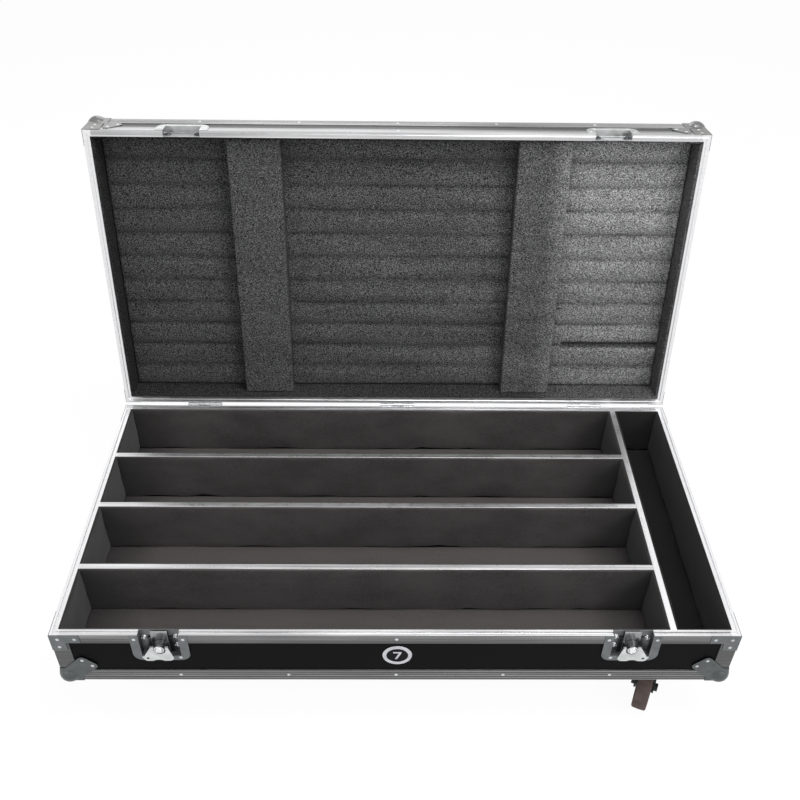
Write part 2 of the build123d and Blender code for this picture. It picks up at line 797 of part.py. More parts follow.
def hinge_leaf(lid):
    """A hinge leaf about the pin line at X = 0. The base leaf carries the two outer knuckles and the lid
    leaf the middle one."""
    half = hinge_width / 2
    third = hinge_width / 6
    sign = 1 if lid else -1
    clear = hinge_knuckle_radius + hinge_gap
    face_y = case_depth
    reach = hinge_axis_z + sign * (hinge_leaf_height + hinge_gap)
    leaf = block(-half, half, face_y, face_y + hinge_leaf_thickness, hinge_axis_z, reach)
    middle = (-third - hinge_gap / 2, third + hinge_gap / 2)
    inner = (-third + hinge_gap / 2, third - hinge_gap / 2)
    outer = half + overshoot
    if lid:
        spans = [inner]
        others = [(-outer, middle[0] + hinge_gap), (middle[1] - hinge_gap, outer)]
    else:
        spans = [(-half, middle[0]), (middle[1], half)]
        others = [middle]
    behind = hinge_axis_y + hinge_knuckle_radius
    for x0, x1 in others:
        leaf -= block(x0, x1, face_y - overshoot, behind, hinge_axis_z - clear, hinge_axis_z + clear)
    for x0, x1 in spans:
        leaf += rod_x(hinge_knuckle_radius, x0, x1, hinge_axis_y, hinge_axis_z)
    leaf -= rod_x(hinge_pin_radius + running_clearance, -outer, outer, hinge_axis_y, hinge_axis_z)
    return leaf.solid()


def hinges():
    """Three hinges: base leaves, lid leaves and headed pins."""
    base_leaf, lid_leaf = hinge_leaf(False), hinge_leaf(True)
    half = hinge_width / 2
    pin = rod_x(hinge_pin_radius, -half, half, hinge_axis_y, hinge_axis_z)
    end = half + hinge_pin_head_height
    for side in (-1, 1):
        pin += rod_x(hinge_pin_head_radius, side * half, side * end, hinge_axis_y, hinge_axis_z)
    return (
        [Pos(x, 0, 0) * base_leaf for x in hinge_centres_x],
        [Pos(x, 0, 0) * lid_leaf for x in hinge_centres_x],
        [(Pos(x, 0, 0) * pin).solid() for x in hinge_centres_x],
    )


def castor_plate():
    """A castor's top plate with its bearing race and kingpin, at the swivel axis."""
    length, width = castor_plate_size
    under = -castor_plate_thickness
    plate = Pos(0, 0, under / 2) * Box(length, width, castor_plate_thickness)
    plate = fillet(plate.edges().filter_by(Axis.Z), castor_plate_corner)
    step_x, step_y = castor_bolt_spacing
    for i in (-1, 1):
        for j in (-1, 1):
            hole = castor_bolt_radius + running_clearance
            plate -= rod_z(hole, i * step_x / 2, j * step_y / 2, under - overshoot, overshoot)
    race_low = under - castor_race_height
    plate += Pos(0, 0, (under + race_low) / 2) * Cylinder(castor_race_radius, castor_race_height)
    head_top = race_low - fork_thickness - 2 * castor_bearing_gap
    plate += rod_z(kingpin_radius, 0, 0, race_low, head_top)
    plate += rod_z(kingpin_head_radius, 0, 0, head_top, head_top - kingpin_head_height)
    return plate.solid()


def castor_fork():
    """The fork, with its trail along -Y: a round crown under the race and two legs to the axle."""
    race_low = -castor_plate_thickness - castor_race_height
    top = race_low - castor_bearing_gap
    low = top - fork_thickness
    inner = wheel_width / 2 + fork_gap
    outer = inner + fork_thickness
    axle_z = castor_axle_z - castor_top_z
    crown = rod_z(castor_crown_radius, 0, 0, low, top)
    web_top = low + fork_web_radius
    hull_points = (
        Pos(0, web_top - fork_web_depth) * Circle(fork_web_radius)
        + Pos(-castor_crown_radius + fork_web_back_inset, web_top) * Circle(fork_web_radius)
        + Pos(castor_crown_radius - fork_web_front_inset, web_top) * Circle(fork_web_radius)
        + Pos(-castor_trail, axle_z) * Circle(fork_eye_radius)
    )
    profile = make_hull(hull_points.edges())
    reach = castor_trail + castor_crown_radius
    above = block(-reach, reach, -reach, reach, top, top + castor_crown_radius)
    for side in (-1, 1):
        leg = extrude(Plane.YZ.offset(side * inner) * profile, side * fork_thickness)
        crown += leg - above
    beyond = outer + overshoot
    crown -= rod_x(axle_radius + running_clearance, -beyond, beyond, -castor_trail, axle_z)
    crown -= rod_z(kingpin_radius + running_clearance, 0, 0, low - overshoot, top + overshoot)
    return crown.solid()


def castor_wheel():
    """A wheel about its axle, with a rounded tread and a dished hub on each side."""
    half = wheel_width / 2
    rim = wheel_radius - tyre_thickness
    dish = half - wheel_dish_depth
    boss = half + fork_gap - wheel_boss_clearance
    side = [
        (wheel_radius, half - wheel_shoulder),
        (wheel_radius - wheel_shoulder, half),
        (rim + tyre_bevel, half),
        (rim, dish),
        (wheel_boss_radius, dish),
        (wheel_boss_radius, boss),
        (axle_radius + running_clearance, boss),
    ]
    other_side = [(radius, -along) for radius, along in reversed(side)]
    face = Plane.XZ * make_face(Polyline(*side, *other_side, close=True))
    return Rot(0, 90, 0) * revolve(face, Axis.Z)


def castor_axle():
    """An axle bolt with a hexagon head and nut, along X about its own middle."""
    reach = wheel_width / 2 + fork_gap + fork_thickness
    bolt = rod_x(axle_radius, -reach, reach, 0, 0)
    hexagon = RegularPolygon(axle_nut_radius, 6)
    bolt += extrude(Plane.YZ.offset(reach) * hexagon, axle_nut_height)
    bolt += extrude(Plane.YZ.offset(-reach) * hexagon, -axle_nut_height)
    return bolt.solid()


def castors():
    """Plates and bolts on the base, and each castor's fork with its axle, and wheel, at its own turn."""
    plate, fork, wheel, axle = castor_plate(), castor_fork(), castor_wheel(), castor_axle()
    plates, parts = [], {}
    for name, (x, y, turn) in castor_spots.items():
        swivel = Pos(x, y, castor_top_z) * Rot(0, 0, turn)
        hub = swivel * Pos(0, -castor_trail, castor_axle_z - castor_top_z)
        plates.append(Pos(x, y, castor_top_z) * plate)
        parts[f"castor_fork_{name}"] = [swivel * fork, hub * axle]
        parts[f"castor_wheel_{name}"] = hub * wheel
    under = castor_top_z - castor_plate_thickness
    head_low = under - castor_bolt_head_height
    hexagon = RegularPolygon(castor_bolt_head_radius, 6)
    bolts = []
    for x, y in castor_bolt_places():
        bolt = rod_z(castor_bolt_radius, x, y, under, edging_skin + castor_bolt_depth)
        bolt += Pos(0, 0, head_low) * extrude(Pos(x, y) * hexagon, castor_bolt_head_height)
        bolts.append(bolt.solid())
    parts["castor_plates"] = plates
    parts["castor_bolts"] = bolts
    return parts


def handle_plate():
    """A drop handle's back plate on the right end of the case, with two lugs for the bail."""
    face = half_length - edging_skin
    out = face + handle_plate_thickness
    middle_y, middle_z = case_depth / 2, end_panel_middle_z
    half_y, half_z = handle_plate_length / 2, handle_plate_height / 2
    plate = block(face, out, middle_y - half_y, middle_y + half_y, middle_z - half_z, middle_z + half_z)
    plate = fillet(plate.edges().filter_by(Axis.X), handle_plate_corner)
    low, high = handle_pivot_z - handle_lug_radius, handle_pivot_z + handle_lug_radius
    hole = handle_pivot_radius + running_clearance
    for side in (-1, 1):
        inner = middle_y + side * (handle_bail_width / 2 + handle_rod_radius + handle_lug_gap)
        outer = inner + side * handle_lug_thickness
        plate += block(out, handle_pivot_x, inner, outer, low, high)
        plate += rod_y(handle_lug_radius, handle_pivot_x, inner, outer, handle_pivot_z)
        past = side * overshoot
        plate -= rod_y(hole, handle_pivot_x, inner - past, outer + past, handle_pivot_z)
    return plate.solid()


def handle_bail():
    """The drop handle's bail, hanging down from its two pivots."""
    half = handle_bail_width / 2
    r = handle_rod_radius
    low = handle_pivot_z - handle_bail_drop
    bend = handle_bend_radius
    middle_y = case_depth / 2
    corner = bend * (1 - math.sqrt(0.5))
    line = Curve() + [
        Line((-half, handle_pivot_z), (-half, low + bend)),
        ThreePointArc((-half, low + bend), (-half + corner, low + corner), (-half + bend, low)),
        Line((-half + bend, low), (half - bend, low)),
        ThreePointArc((half - bend, low), (half - corner, low + corner), (half, low + bend)),
        Line((half, low + bend), (half, handle_pivot_z)),
    ]
    path = Plane(origin=(handle_pivot_x, middle_y, 0), x_dir=(0, 1, 0), z_dir=(1, 0, 0)) * line
    start = Plane(origin=path.wire() @ 0, z_dir=path.wire() % 0)
    bail = sweep(start * Circle(r), path=path.wire())
    pin_length = r + handle_lug_gap + handle_lug_thickness
    for side in (-1, 1):
        edge = middle_y + side * half
        bail += Pos(handle_pivot_x, edge, handle_pivot_z) * Sphere(r)
        bail += rod_y(handle_pivot_radius, handle_pivot_x, edge, edge + side * pin_length, handle_pivot_z)
    return bail.solid()


def handles():
    """A drop handle on each end of the case."""
    plate, bail = handle_plate(), handle_bail()
    return {
        "handle_plates": [mirror(plate, Plane.YZ), plate],
        "handle_bail_left": mirror(bail, Plane.YZ),
        "handle_bail_right": bail,
    }


def closed_lid_parts():
    """Every node of the lid, drawn closed."""
    parts = dict(lid_panels())
    parts["lid_rim_edging"] = rim_edging(lid=True)
    parts["lid_top_edging"] = edge_angles(lid=True)
    parts["lid_corner_angles"] = corner_angles(lid=True)
    parts["lid_ball_corners"] = ball_corners(lid=True)
    parts["lid_corner_braces"] = corner_braces(lid=True)
    parts["lid_rivets"] = edge_rivets(lid=True)
    parts["lid_wall_lining"] = lid_wall_lining()
    parts["lid_foam_sheet"] = foam_sheet()
    parts.update(foam_blocks())
    parts["latch_keepers"] = latch_keepers()
    parts["hinge_lid_leaves"] = hinges()[1]
    return parts


def base_parts():
    """Every node of the base and what moves on it, apart from the lid."""
    parts = dict(base_panels())
    parts["base_rim_edging"] = rim_edging(lid=False)
    parts["base_bottom_edging"] = edge_angles(lid=False)
    parts["base_corner_angles"] = corner_angles(lid=False)
    parts["base_ball_corners"] = ball_corners(lid=False)
    parts["base_corner_braces"] = corner_braces(lid=False)
    parts["base_rivets"] = edge_rivets(lid=False)
    parts.update(dividers())
    parts["divider_channels"] = divider_channels()
    parts.update(linings())
    parts["latch_dishes"] = latch_dishes()
    parts.update(latch_parts())
    base_leaves, _, pins = hinges()
    parts["hinge_base_leaves"] = base_leaves
    parts["hinge_pins"] = pins
    parts.update(castors())
    parts.update(handles())
    return parts


def as_list(shape):
    """A node's pieces as a list."""
    return list(shape) if isinstance(shape, (list, tuple)) else [shape]


def opened(piece):
    """A closed lid piece swung open about the hinge pins."""
    pin = Pos(0, hinge_axis_y, hinge_axis_z)
    return pin * Rot(-lid_open_angle, 0, 0) * pin.inverse() * piece


def assemble():
    """All nodes as lists of pieces in the case's own layout, with the lid open."""
    nodes = {name: as_list(shape) for name, shape in base_parts().items()}
    for name, shape in closed_lid_parts().items():
        nodes[name] = [opened(piece) for piece in as_list(shape)]
    return nodes


def origin_shift(nodes):
    """The move that puts the origin on the floor under the middle of the open case."""
    boxes = [piece.bounding_box() for pieces in nodes.values() for piece in pieces]
    middle_x = (min(box.min.X for box in boxes) + max(box.max.X for box in boxes)) / 2
    middle_y = (min(box.min.Y for box in boxes) + max(box.max.Y for box in boxes)) / 2
    return (-middle_x, -middle_y, -min(box.min.Z for box in boxes))


def main():
    os.makedirs("parts", exist_ok=True)
    nodes = assemble()
    shift = origin_shift(nodes)
    print("origin shift", [round(value, 4) for value in shift], "nodes", len(nodes))
    for name, pieces in nodes.items():
        moved = [Pos(*shift) * piece for piece in pieces]
        shape = moved[0] if len(moved) == 1 else Compound(children=moved)
        export_step(shape, f"parts/{name}.step")


if __name__ == "__main__":
    main()
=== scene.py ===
import json
import math

import bmesh
import bpy
import numpy as np
from mathutils import Matrix, Vector


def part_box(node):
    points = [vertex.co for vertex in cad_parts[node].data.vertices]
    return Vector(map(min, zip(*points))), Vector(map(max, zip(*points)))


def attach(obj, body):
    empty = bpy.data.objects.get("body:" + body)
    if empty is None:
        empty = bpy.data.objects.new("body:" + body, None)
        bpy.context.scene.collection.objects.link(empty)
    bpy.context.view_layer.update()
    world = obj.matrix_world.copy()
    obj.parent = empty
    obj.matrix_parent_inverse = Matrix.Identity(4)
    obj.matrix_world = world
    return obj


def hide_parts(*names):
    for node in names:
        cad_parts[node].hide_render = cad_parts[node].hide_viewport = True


bl_info = {
    "name": "Lighting flight case",
    "version": (1, 0, 0),
    "blender": (4, 5, 0),
    "location": "View3D > Sidebar > Flight Case",
    "description": "Dresses a lined flight case with edging, laminate, foam, latches and castors",
    "category": "Object",
}

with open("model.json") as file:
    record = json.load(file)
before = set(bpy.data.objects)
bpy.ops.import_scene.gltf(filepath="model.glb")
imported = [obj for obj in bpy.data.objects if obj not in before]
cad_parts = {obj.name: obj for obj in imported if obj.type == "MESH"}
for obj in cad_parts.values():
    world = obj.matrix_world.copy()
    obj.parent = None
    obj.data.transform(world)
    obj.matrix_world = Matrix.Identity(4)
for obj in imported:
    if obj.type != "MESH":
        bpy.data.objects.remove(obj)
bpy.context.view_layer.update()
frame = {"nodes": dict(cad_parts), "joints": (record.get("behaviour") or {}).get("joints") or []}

MM = 0.001

RIM_LOW, RIM_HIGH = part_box("base_rim_edging")
FRONT_Y = RIM_LOW[1]
BACK_Y = RIM_HIGH[1]
RIM_Z = RIM_HIGH[2]
HALF_LENGTH = RIM_HIGH[0]
PANEL_LOW, PANEL_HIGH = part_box("base_floor_panel")
FLOOR_TOP = PANEL_HIGH[2]
EDGE_SKIN = PANEL_LOW[1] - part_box("base_bottom_edging")[0][1]
UNDERSIDE_Z = PANEL_LOW[2] - EDGE_SKIN
RIM_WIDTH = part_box("long_divider_front")[0][0] + HALF_LENGTH

JOINTS = {joint["name"]: joint for joint in frame["joints"]}
LID_JOINT = JOINTS["lid_hinge"]
LID_PIN = np.array(LID_JOINT["pos_m"], float)
LID_TURN = math.radians(LID_JOINT["range_deg"][1])
CORNERS = ("front_left", "front_right", "back_left", "back_right")
SIDES = ("left", "right")

LIFT_LONG = 340.0 * MM
LIFT_SHORT = 121.0 * MM
KINK_REACH = 16.0 * MM
PADS_PER_BAY = 5
EDGE_LEG = 30.0 * MM
FIRST_GROOVE = 8.5 * MM
GROOVE_PITCH = 6.5 * MM
LATCH_SKIN = 1.2 * MM
SCREW_OFFSET = 28.4 * MM
SCREW_SCALE = 0.86
KEEPER_SCREW_RISE = 13.0 * MM
END_RUN = 16.0 * MM
LINING = 3.5 * MM
POLE_WELD = 0.0005 * MM
CAD_WELD = 0.002 * MM


def swung(points, angle):
    """Points turned about the hinge pins, which lie along X, by an angle that shuts the lid."""
    points = np.asarray(points, float)
    y = points[..., 1] - LID_PIN[1]
    z = points[..., 2] - LID_PIN[2]
    turned_y = y * math.cos(angle) - z * math.sin(angle)
    turned_z = z * math.cos(angle) + y * math.sin(angle)
    return np.stack([points[..., 0], LID_PIN[1] + turned_y, LID_PIN[2] + turned_z], axis=-1)


def closed_to_open(points):
    """Swings points of the closed lid open by its whole range."""
    return swung(points, -LID_TURN)


def open_to_closed(points):
    """Shuts points of the open lid."""
    return swung(points, LID_TURN)


def piece_points(piece):
    """A piece's vertices as an array."""
    flat = np.empty(len(piece.data.vertices) * 3)
    piece.data.vertices.foreach_get("co", flat)
    return flat.reshape(-1, 3)


def closed_box(node):
    """Lowest and highest corner of a lid node with the lid closed, read from its vertices."""
    points = open_to_closed(piece_points(frame["nodes"][node]))
    return points.min(axis=0), points.max(axis=0)


def middle_of(node):
    """The middle of a node's box."""
    return [(low + high) / 2 for low, high in zip(*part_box(node))]


LID_TOP_Z = closed_box("lid_top_edging")[1][2]
BAY_ENDS = (-HALF_LENGTH + RIM_WIDTH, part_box("cross_divider")[0][0])
BAYS_MIDDLE = sum(BAY_ENDS) / 2
BAYS_HALF = (BAY_ENDS[1] - BAY_ENDS[0]) / 2
CROSS_MIDDLE = middle_of("cross_divider")[0]
MIDDLE_Y = (FRONT_Y + BACK_Y) / 2
INNER_HALF_DEPTH = (BACK_Y - FRONT_Y) / 2 - RIM_WIDTH


class CaseSettings(bpy.types.PropertyGroup):
    """Sizes and colours of the soft pieces and finishes."""

    lining_round: bpy.props.FloatProperty(
        name="Lining edge radius", description="Radius of the lining's cut edges",
        default=0.0014, min=0.0002, max=0.004, unit="LENGTH")
    lining_wave: bpy.props.FloatProperty(
        name="Lining wave", description="How far the glued lining rises and falls",
        default=0.0011, min=0.0, max=0.002, unit="LENGTH")
    lining_lift: bpy.props.FloatProperty(
        name="Lining lift", description="How far the walls' lining stands off the floor in places",
        default=0.0052, min=0.0, max=0.008, unit="LENGTH")
    foam_round: bpy.props.FloatProperty(
        name="Foam edge radius", description="Radius of the foam blocks' edges",
        default=0.003, min=0.0005, max=0.01, unit="LENGTH")
    foam_ridge: bpy.props.FloatProperty(
        name="Foam ridge height", description="Height of the soft ridges across the lid's foam",
        default=0.0042, min=0.0, max=0.008, unit="LENGTH")
    foam_ridges: bpy.props.IntProperty(
        name="Foam ridges", description="Number of soft ridges from the hinges to the latches",
        default=11, min=1, max=40)
    laminate_colour: bpy.props.FloatVectorProperty(
        name="Laminate", description="Colour of the pebbled laminate", subtype="COLOR",
        default=(0.0025, 0.0025, 0.003), min=0.0, max=1.0)
    foam_colour: bpy.props.FloatVectorProperty(
        name="Foam", description="Colour of the cut foam's cell walls", subtype="COLOR",
        default=(0.085, 0.085, 0.085), min=0.0, max=1.0)
    lining_colour: bpy.props.FloatVectorProperty(
        name="Lining", description="Colour of the bay lining", subtype="COLOR",
        default=(0.05, 0.045, 0.044), min=0.0, max=1.0)
    metal_colour: bpy.props.FloatVectorProperty(
        name="Edging", description="Colour of the aluminium edging", subtype="COLOR",
        default=(0.86, 0.86, 0.87), min=0.0, max=1.0)
    tread_colour: bpy.props.FloatVectorProperty(
        name="Tread", description="Colour of the castor treads", subtype="COLOR",
        default=(0.085, 0.062, 0.055), min=0.0, max=1.0)


def settings():
    """The sizes and colours that the panel in the sidebar shows."""
    return bpy.context.scene.case_settings


class Field:
    """A value that changes over a surface. Arithmetic on fields adds the Math nodes that work it out."""

    def __init__(self, paint, socket):
        self.paint = paint
        self.socket = socket

    def maths(self, operation, *others, first=None):
        """A Math node on this field and others, or on first and this field."""
        values = (self, *others) if first is None else (first, self)
        node = self.paint.node("ShaderNodeMath", {"operation": operation}, dict(enumerate(values)))
        return Field(self.paint, node.outputs[0])

    def __add__(self, other):
        return self.maths("ADD", other)

    def __sub__(self, other):
        return self.maths("SUBTRACT", other)

    def __rsub__(self, other):
        return self.maths("SUBTRACT", first=other)

    def __mul__(self, other):
        return self.maths("MULTIPLY", other)

    def __truediv__(self, other):
        return self.maths("DIVIDE", other)

    def __gt__(self, other):
        return self.maths("GREATER_THAN", other)

    def __abs__(self):
        return self.maths("ABSOLUTE")

    __radd__ = __add__
    __rmul__ = __mul__

    def lowest(self, other):
        """The smaller of two fields."""
        return self.maths("MINIMUM", other)

    def clamp(self):
        """Held between 0 and 1."""
        field = self.maths("ADD", 0.0)
        field.socket.node.use_clamp = True
        return field


class Paint:
    """A material that is built by expressions. Its principled shader's sockets take numbers or fields."""

    def __init__(self, name):
        self.material = bpy.data.materials.new(name)
        self.material.use_nodes = True
        self.tree = self.material.node_tree
        self.shader = self.tree.nodes["Principled BSDF"]
        self.place = self.node("ShaderNodeTexCoord", {}, {}).outputs["Object"]

    def node(self, kind, options, inputs):
        """Adds a node, sets its options first and then its sockets' values or links."""
        node = self.tree.nodes.new(kind)
        for key, value in options.items():
            setattr(node, key, value)
        for key, value in inputs.items():
            self.fill(node.inputs[key], value)
        return node

    def fill(self, socket, value):
        """Links a field or a socket to a socket, or sets the socket to a plain value."""
        if isinstance(value, Field):
            value = value.socket
        if isinstance(value, bpy.types.NodeSocket):
            self.tree.links.new(value, socket)
        else:
            socket.default_value = value

    def stretched(self, scale):
        """Object coordinates times a scale along each axis."""
        return self.node("ShaderNodeMapping", {}, {"Vector": self.place, "Scale": scale}).outputs[0]

    def noise(self, scale, detail=2.0, roughness=0.5, where=None):
        """Cloudy noise with scale features to the metre, from 0 to 1."""
        inputs = {"Vector": where or self.place, "Scale": scale, "Detail": detail, "Roughness": roughness}
        return Field(self, self.node("ShaderNodeTexNoise", {}, inputs).outputs[0])

    def cells(self, scale):
        """The distance to the nearest of many scattered points, which reads as small pebbles."""
        inputs = {"Vector": self.place, "Scale": scale}
        return Field(self, self.node("ShaderNodeTexVoronoi", {}, inputs).outputs["Distance"])

    def axis(self, letter):
        """One object coordinate as a field."""
        node = self.node("ShaderNodeSeparateXYZ", {}, {0: self.place})
        return Field(self, node.outputs[letter])

    def between(self, field, low, high):
        """0 below low, 1 above high and a straight line between."""
        inputs = {0: field, 1: low, 2: high, 3: 0.0, 4: 1.0}
        node = self.node("ShaderNodeMapRange", {"clamp": True}, inputs)
        return Field(self, node.outputs[0])

    def blend(self, factor, first, second):
        """Mixes two colours."""
        node = self.node("ShaderNodeMix", {"data_type": "RGBA"}, {0: factor, 6: first, 7: second})
        return node.outputs[2]

    def share(self, name):
        """A vertex share that set_share stored."""
        return Field(self, self.node("ShaderNodeAttribute", {"attribute_name": name}, {}).outputs["Fac"])

    def bump(self, height, strength, distance):
        """A normal that follows a field as if it were a height in metres times distance."""
        inputs = {"Height": height, "Strength": strength, "Distance": distance}
        return self.node("ShaderNodeBump", {}, inputs).outputs[0]

    def finish(self, **values):
        """Sets the shader's sockets, named with underscores for spaces."""
        for key, value in values.items():
            self.fill(self.shader.inputs[key.replace("_", " ")], value)
        return self.material


def rgba(colour, factor=1.0):
    """A colour times a factor, with the alpha that sockets ask for."""
    return tuple(min(channel * factor, 1.0) for channel in colour) + (1.0,)


def closed_height(paint, on_lid):
    """A point's Y and Z as they are with the case shut, which on the lid are turned about its hinges."""
    y, z = paint.axis("Y"), paint.axis("Z")
    if not on_lid:
        return y, z
    y, z = y - LID_PIN[1], z - LID_PIN[2]
    cosine, sine = math.cos(LID_TURN), math.sin(LID_TURN)
    return y * cosine - z * sine + LID_PIN[1], z * cosine + y * sine + LID_PIN[2]


def edging_paint(name, side_run, on_lid, leg_shade_strength):
    """Extruded aluminium with drawn lines and darker bands, both along X. Within END_RUN of the case's
    two ends, and on the cross divider, the lines take side_run, the stretch of their pattern, and the
    bands are left off. The upright legs get painted shade, stronger away from the rim and streaked, the
    grooves' floors get painted shade, and the lips beside the grooves get a painted highlight. The last
    argument sets how deep the legs' painted shade is."""
    paint = Paint(name)
    metal = settings().metal_colour
    lines_x = paint.noise(1.0, 3.0, 0.6, paint.stretched((6.0, 1400.0, 1400.0)))
    lines_side = paint.noise(1.0, 3.0, 0.6, paint.stretched(side_run))
    along_y = abs(paint.axis("X")) > HALF_LENGTH - END_RUN
    if not on_lid:
        crossing = 1 - (abs(paint.axis("X") - CROSS_MIDDLE) > RIM_WIDTH / 2)
        inside_rims = 1 - (abs(paint.axis("Y") - MIDDLE_Y) > INNER_HALF_DEPTH)
        along_y = (along_y + crossing * inside_rims).clamp()
    lines = lines_x * (1 - along_y) + lines_side * along_y
    streak = paint.noise(1.0, 3.0, 0.6, paint.stretched((2.5, 500.0, 500.0)))
    wear = paint.between(paint.noise(38.0, 6.0, 0.65), 0.42, 0.72)
    scuffs = paint.between(paint.noise(240.0, 2.0, 0.7), 0.62, 0.75)
    tone = paint.blend(paint.between(lines, 0.3, 0.7), rgba(metal, 0.86), rgba(metal, 1.1))
    slow = paint.between(paint.noise(1.0, 3.0, 0.5, paint.stretched((3.2, 40.0, 40.0))), 0.42, 0.68)
    bands = paint.between(paint.noise(1.0, 2.0, 0.5, paint.stretched((1.6, 170.0, 170.0))), 0.46, 0.58)
    tone = paint.blend((slow * 0.5 + bands * 0.5) * (1 - along_y), tone, rgba(metal, 0.45))
    tone = paint.blend(scuffs * 0.25, tone, rgba(metal, 0.6))
    closed_y, closed_z = closed_height(paint, on_lid)
    from_end = HALF_LENGTH - abs(paint.axis("X"))
    inside = from_end.lowest((BACK_Y - FRONT_Y) / 2 - abs(closed_y - MIDDLE_Y))
    from_rim = abs(closed_z - RIM_Z)
    leg = 1 - paint.between(inside, 0.0001, 0.0003)
    # The floors of the grooves, which take painted shade.
    groove = paint.between(inside, 0.0003, 0.0004) * (1 - paint.between(inside, 0.0006, 0.0008))
    from_edge = LID_TOP_Z - closed_z if on_lid else closed_z - UNDERSIDE_Z
    # Painted highlights on the lips beside the grooves.
    phase = ((from_edge - FIRST_GROOVE) / GROOVE_PITCH + 9.0).maths("FRACT")
    lip = (phase > 0.62) * (1 - (phase > 0.86)) * (1 - (from_edge > EDGE_LEG))
    # Painted shade on the upright legs, stronger away from the rim, with real streaks in it and less on the
    # lips.
    leg_shade_and_streaks = leg * (leg_shade_strength + paint.between(from_rim, 0.0, 0.022) * 0.3 + (streak - 0.5) * 0.9 - lip * 0.46)
    tone = paint.blend(leg_shade_and_streaks.clamp(), tone, rgba(metal, 0.12))
    # Painted shade in the grooves, kept off the first few millimetres by the rim.
    tone = paint.blend(groove * paint.between(from_rim, 0.002, 0.003) * 0.85, tone, rgba(metal, 0.08))
    rough = 0.22 + lines * 0.12 + wear * 0.1
    return paint.finish(Base_Color=tone, Metallic=0.9, Roughness=rough,
                        Normal=paint.bump(lines + scuffs * 0.4, 0.12, 0.0002))


def laminate_paint(name, gloss):
    """Black laminate with a fine pebble grain, a few pale rubs and a soft gloss."""
    paint = Paint(name)
    colour = settings().laminate_colour
    pebble = paint.cells(620.0)
    broad = paint.noise(7.0, 5.0, 0.6)
    rubs = paint.between(paint.noise(1.0, 4.0, 0.7, paint.stretched((18.0, 260.0, 140.0))), 0.66, 0.8)
    tone = paint.blend(broad, rgba(colour, 0.7), rgba(colour, 1.7))
    tone = paint.blend(rubs * 0.35, tone, rgba(colour, 7.0))
    return paint.finish(Base_Color=tone, Roughness=0.5 + broad * 0.16 + rubs * 0.15 - gloss * 0.4,
                        Specular_IOR_Level=gloss, Normal=paint.bump(pebble, 0.35, 0.0003))


def lining_paint(name, brightness):
    """Dark felt-backed foam: a warm grey nap, paler on the floors as painted light, and darker towards
    the ends of the bays as painted shade. A brightness below 1 darkens the whole lining as painted shade."""
    paint = Paint(name)
    colour = [channel * brightness for channel in settings().lining_colour]
    nap = paint.noise(700.0, 3.0, 0.7)
    weave = paint.noise(380.0, 2.0, 0.7)
    patches = paint.noise(6.0, 5.0, 0.6)
    streaks = paint.noise(1.0, 4.0, 0.6, paint.stretched((7.0, 40.0, 14.0)))
    # Where painted shade falls, towards the ends of the bays.
    ends = paint.between(abs(paint.axis("X") - BAYS_MIDDLE), BAYS_HALF - 0.11, BAYS_HALF)
    mottle = paint.between(patches * 0.5 + streaks * 0.5, 0.4, 0.62)
    tone = paint.blend(mottle, rgba(colour, 0.62), rgba(colour, 1.75))
    # Painted light: the floors paler than the walls.
    tone = paint.blend(paint.share("floor") * 0.75, tone, rgba(colour, 1.9))
    tone = paint.blend(paint.between(weave, 0.42, 0.6) * 0.4, tone, rgba(colour, 2.6))
    tone = paint.blend(paint.between(nap, 0.4, 0.7) * 0.3, tone, rgba(colour, 2.4))
    # Painted shade towards the ends of the bays.
    tone = paint.blend(ends * 0.8, tone, rgba(colour, 0.35))
    return paint.finish(Base_Color=tone, Roughness=0.94, Specular_IOR_Level=0.2,
                        Sheen_Weight=0.15, Sheen_Roughness=0.6, Normal=paint.bump(nap + weave, 0.4, 0.0006))


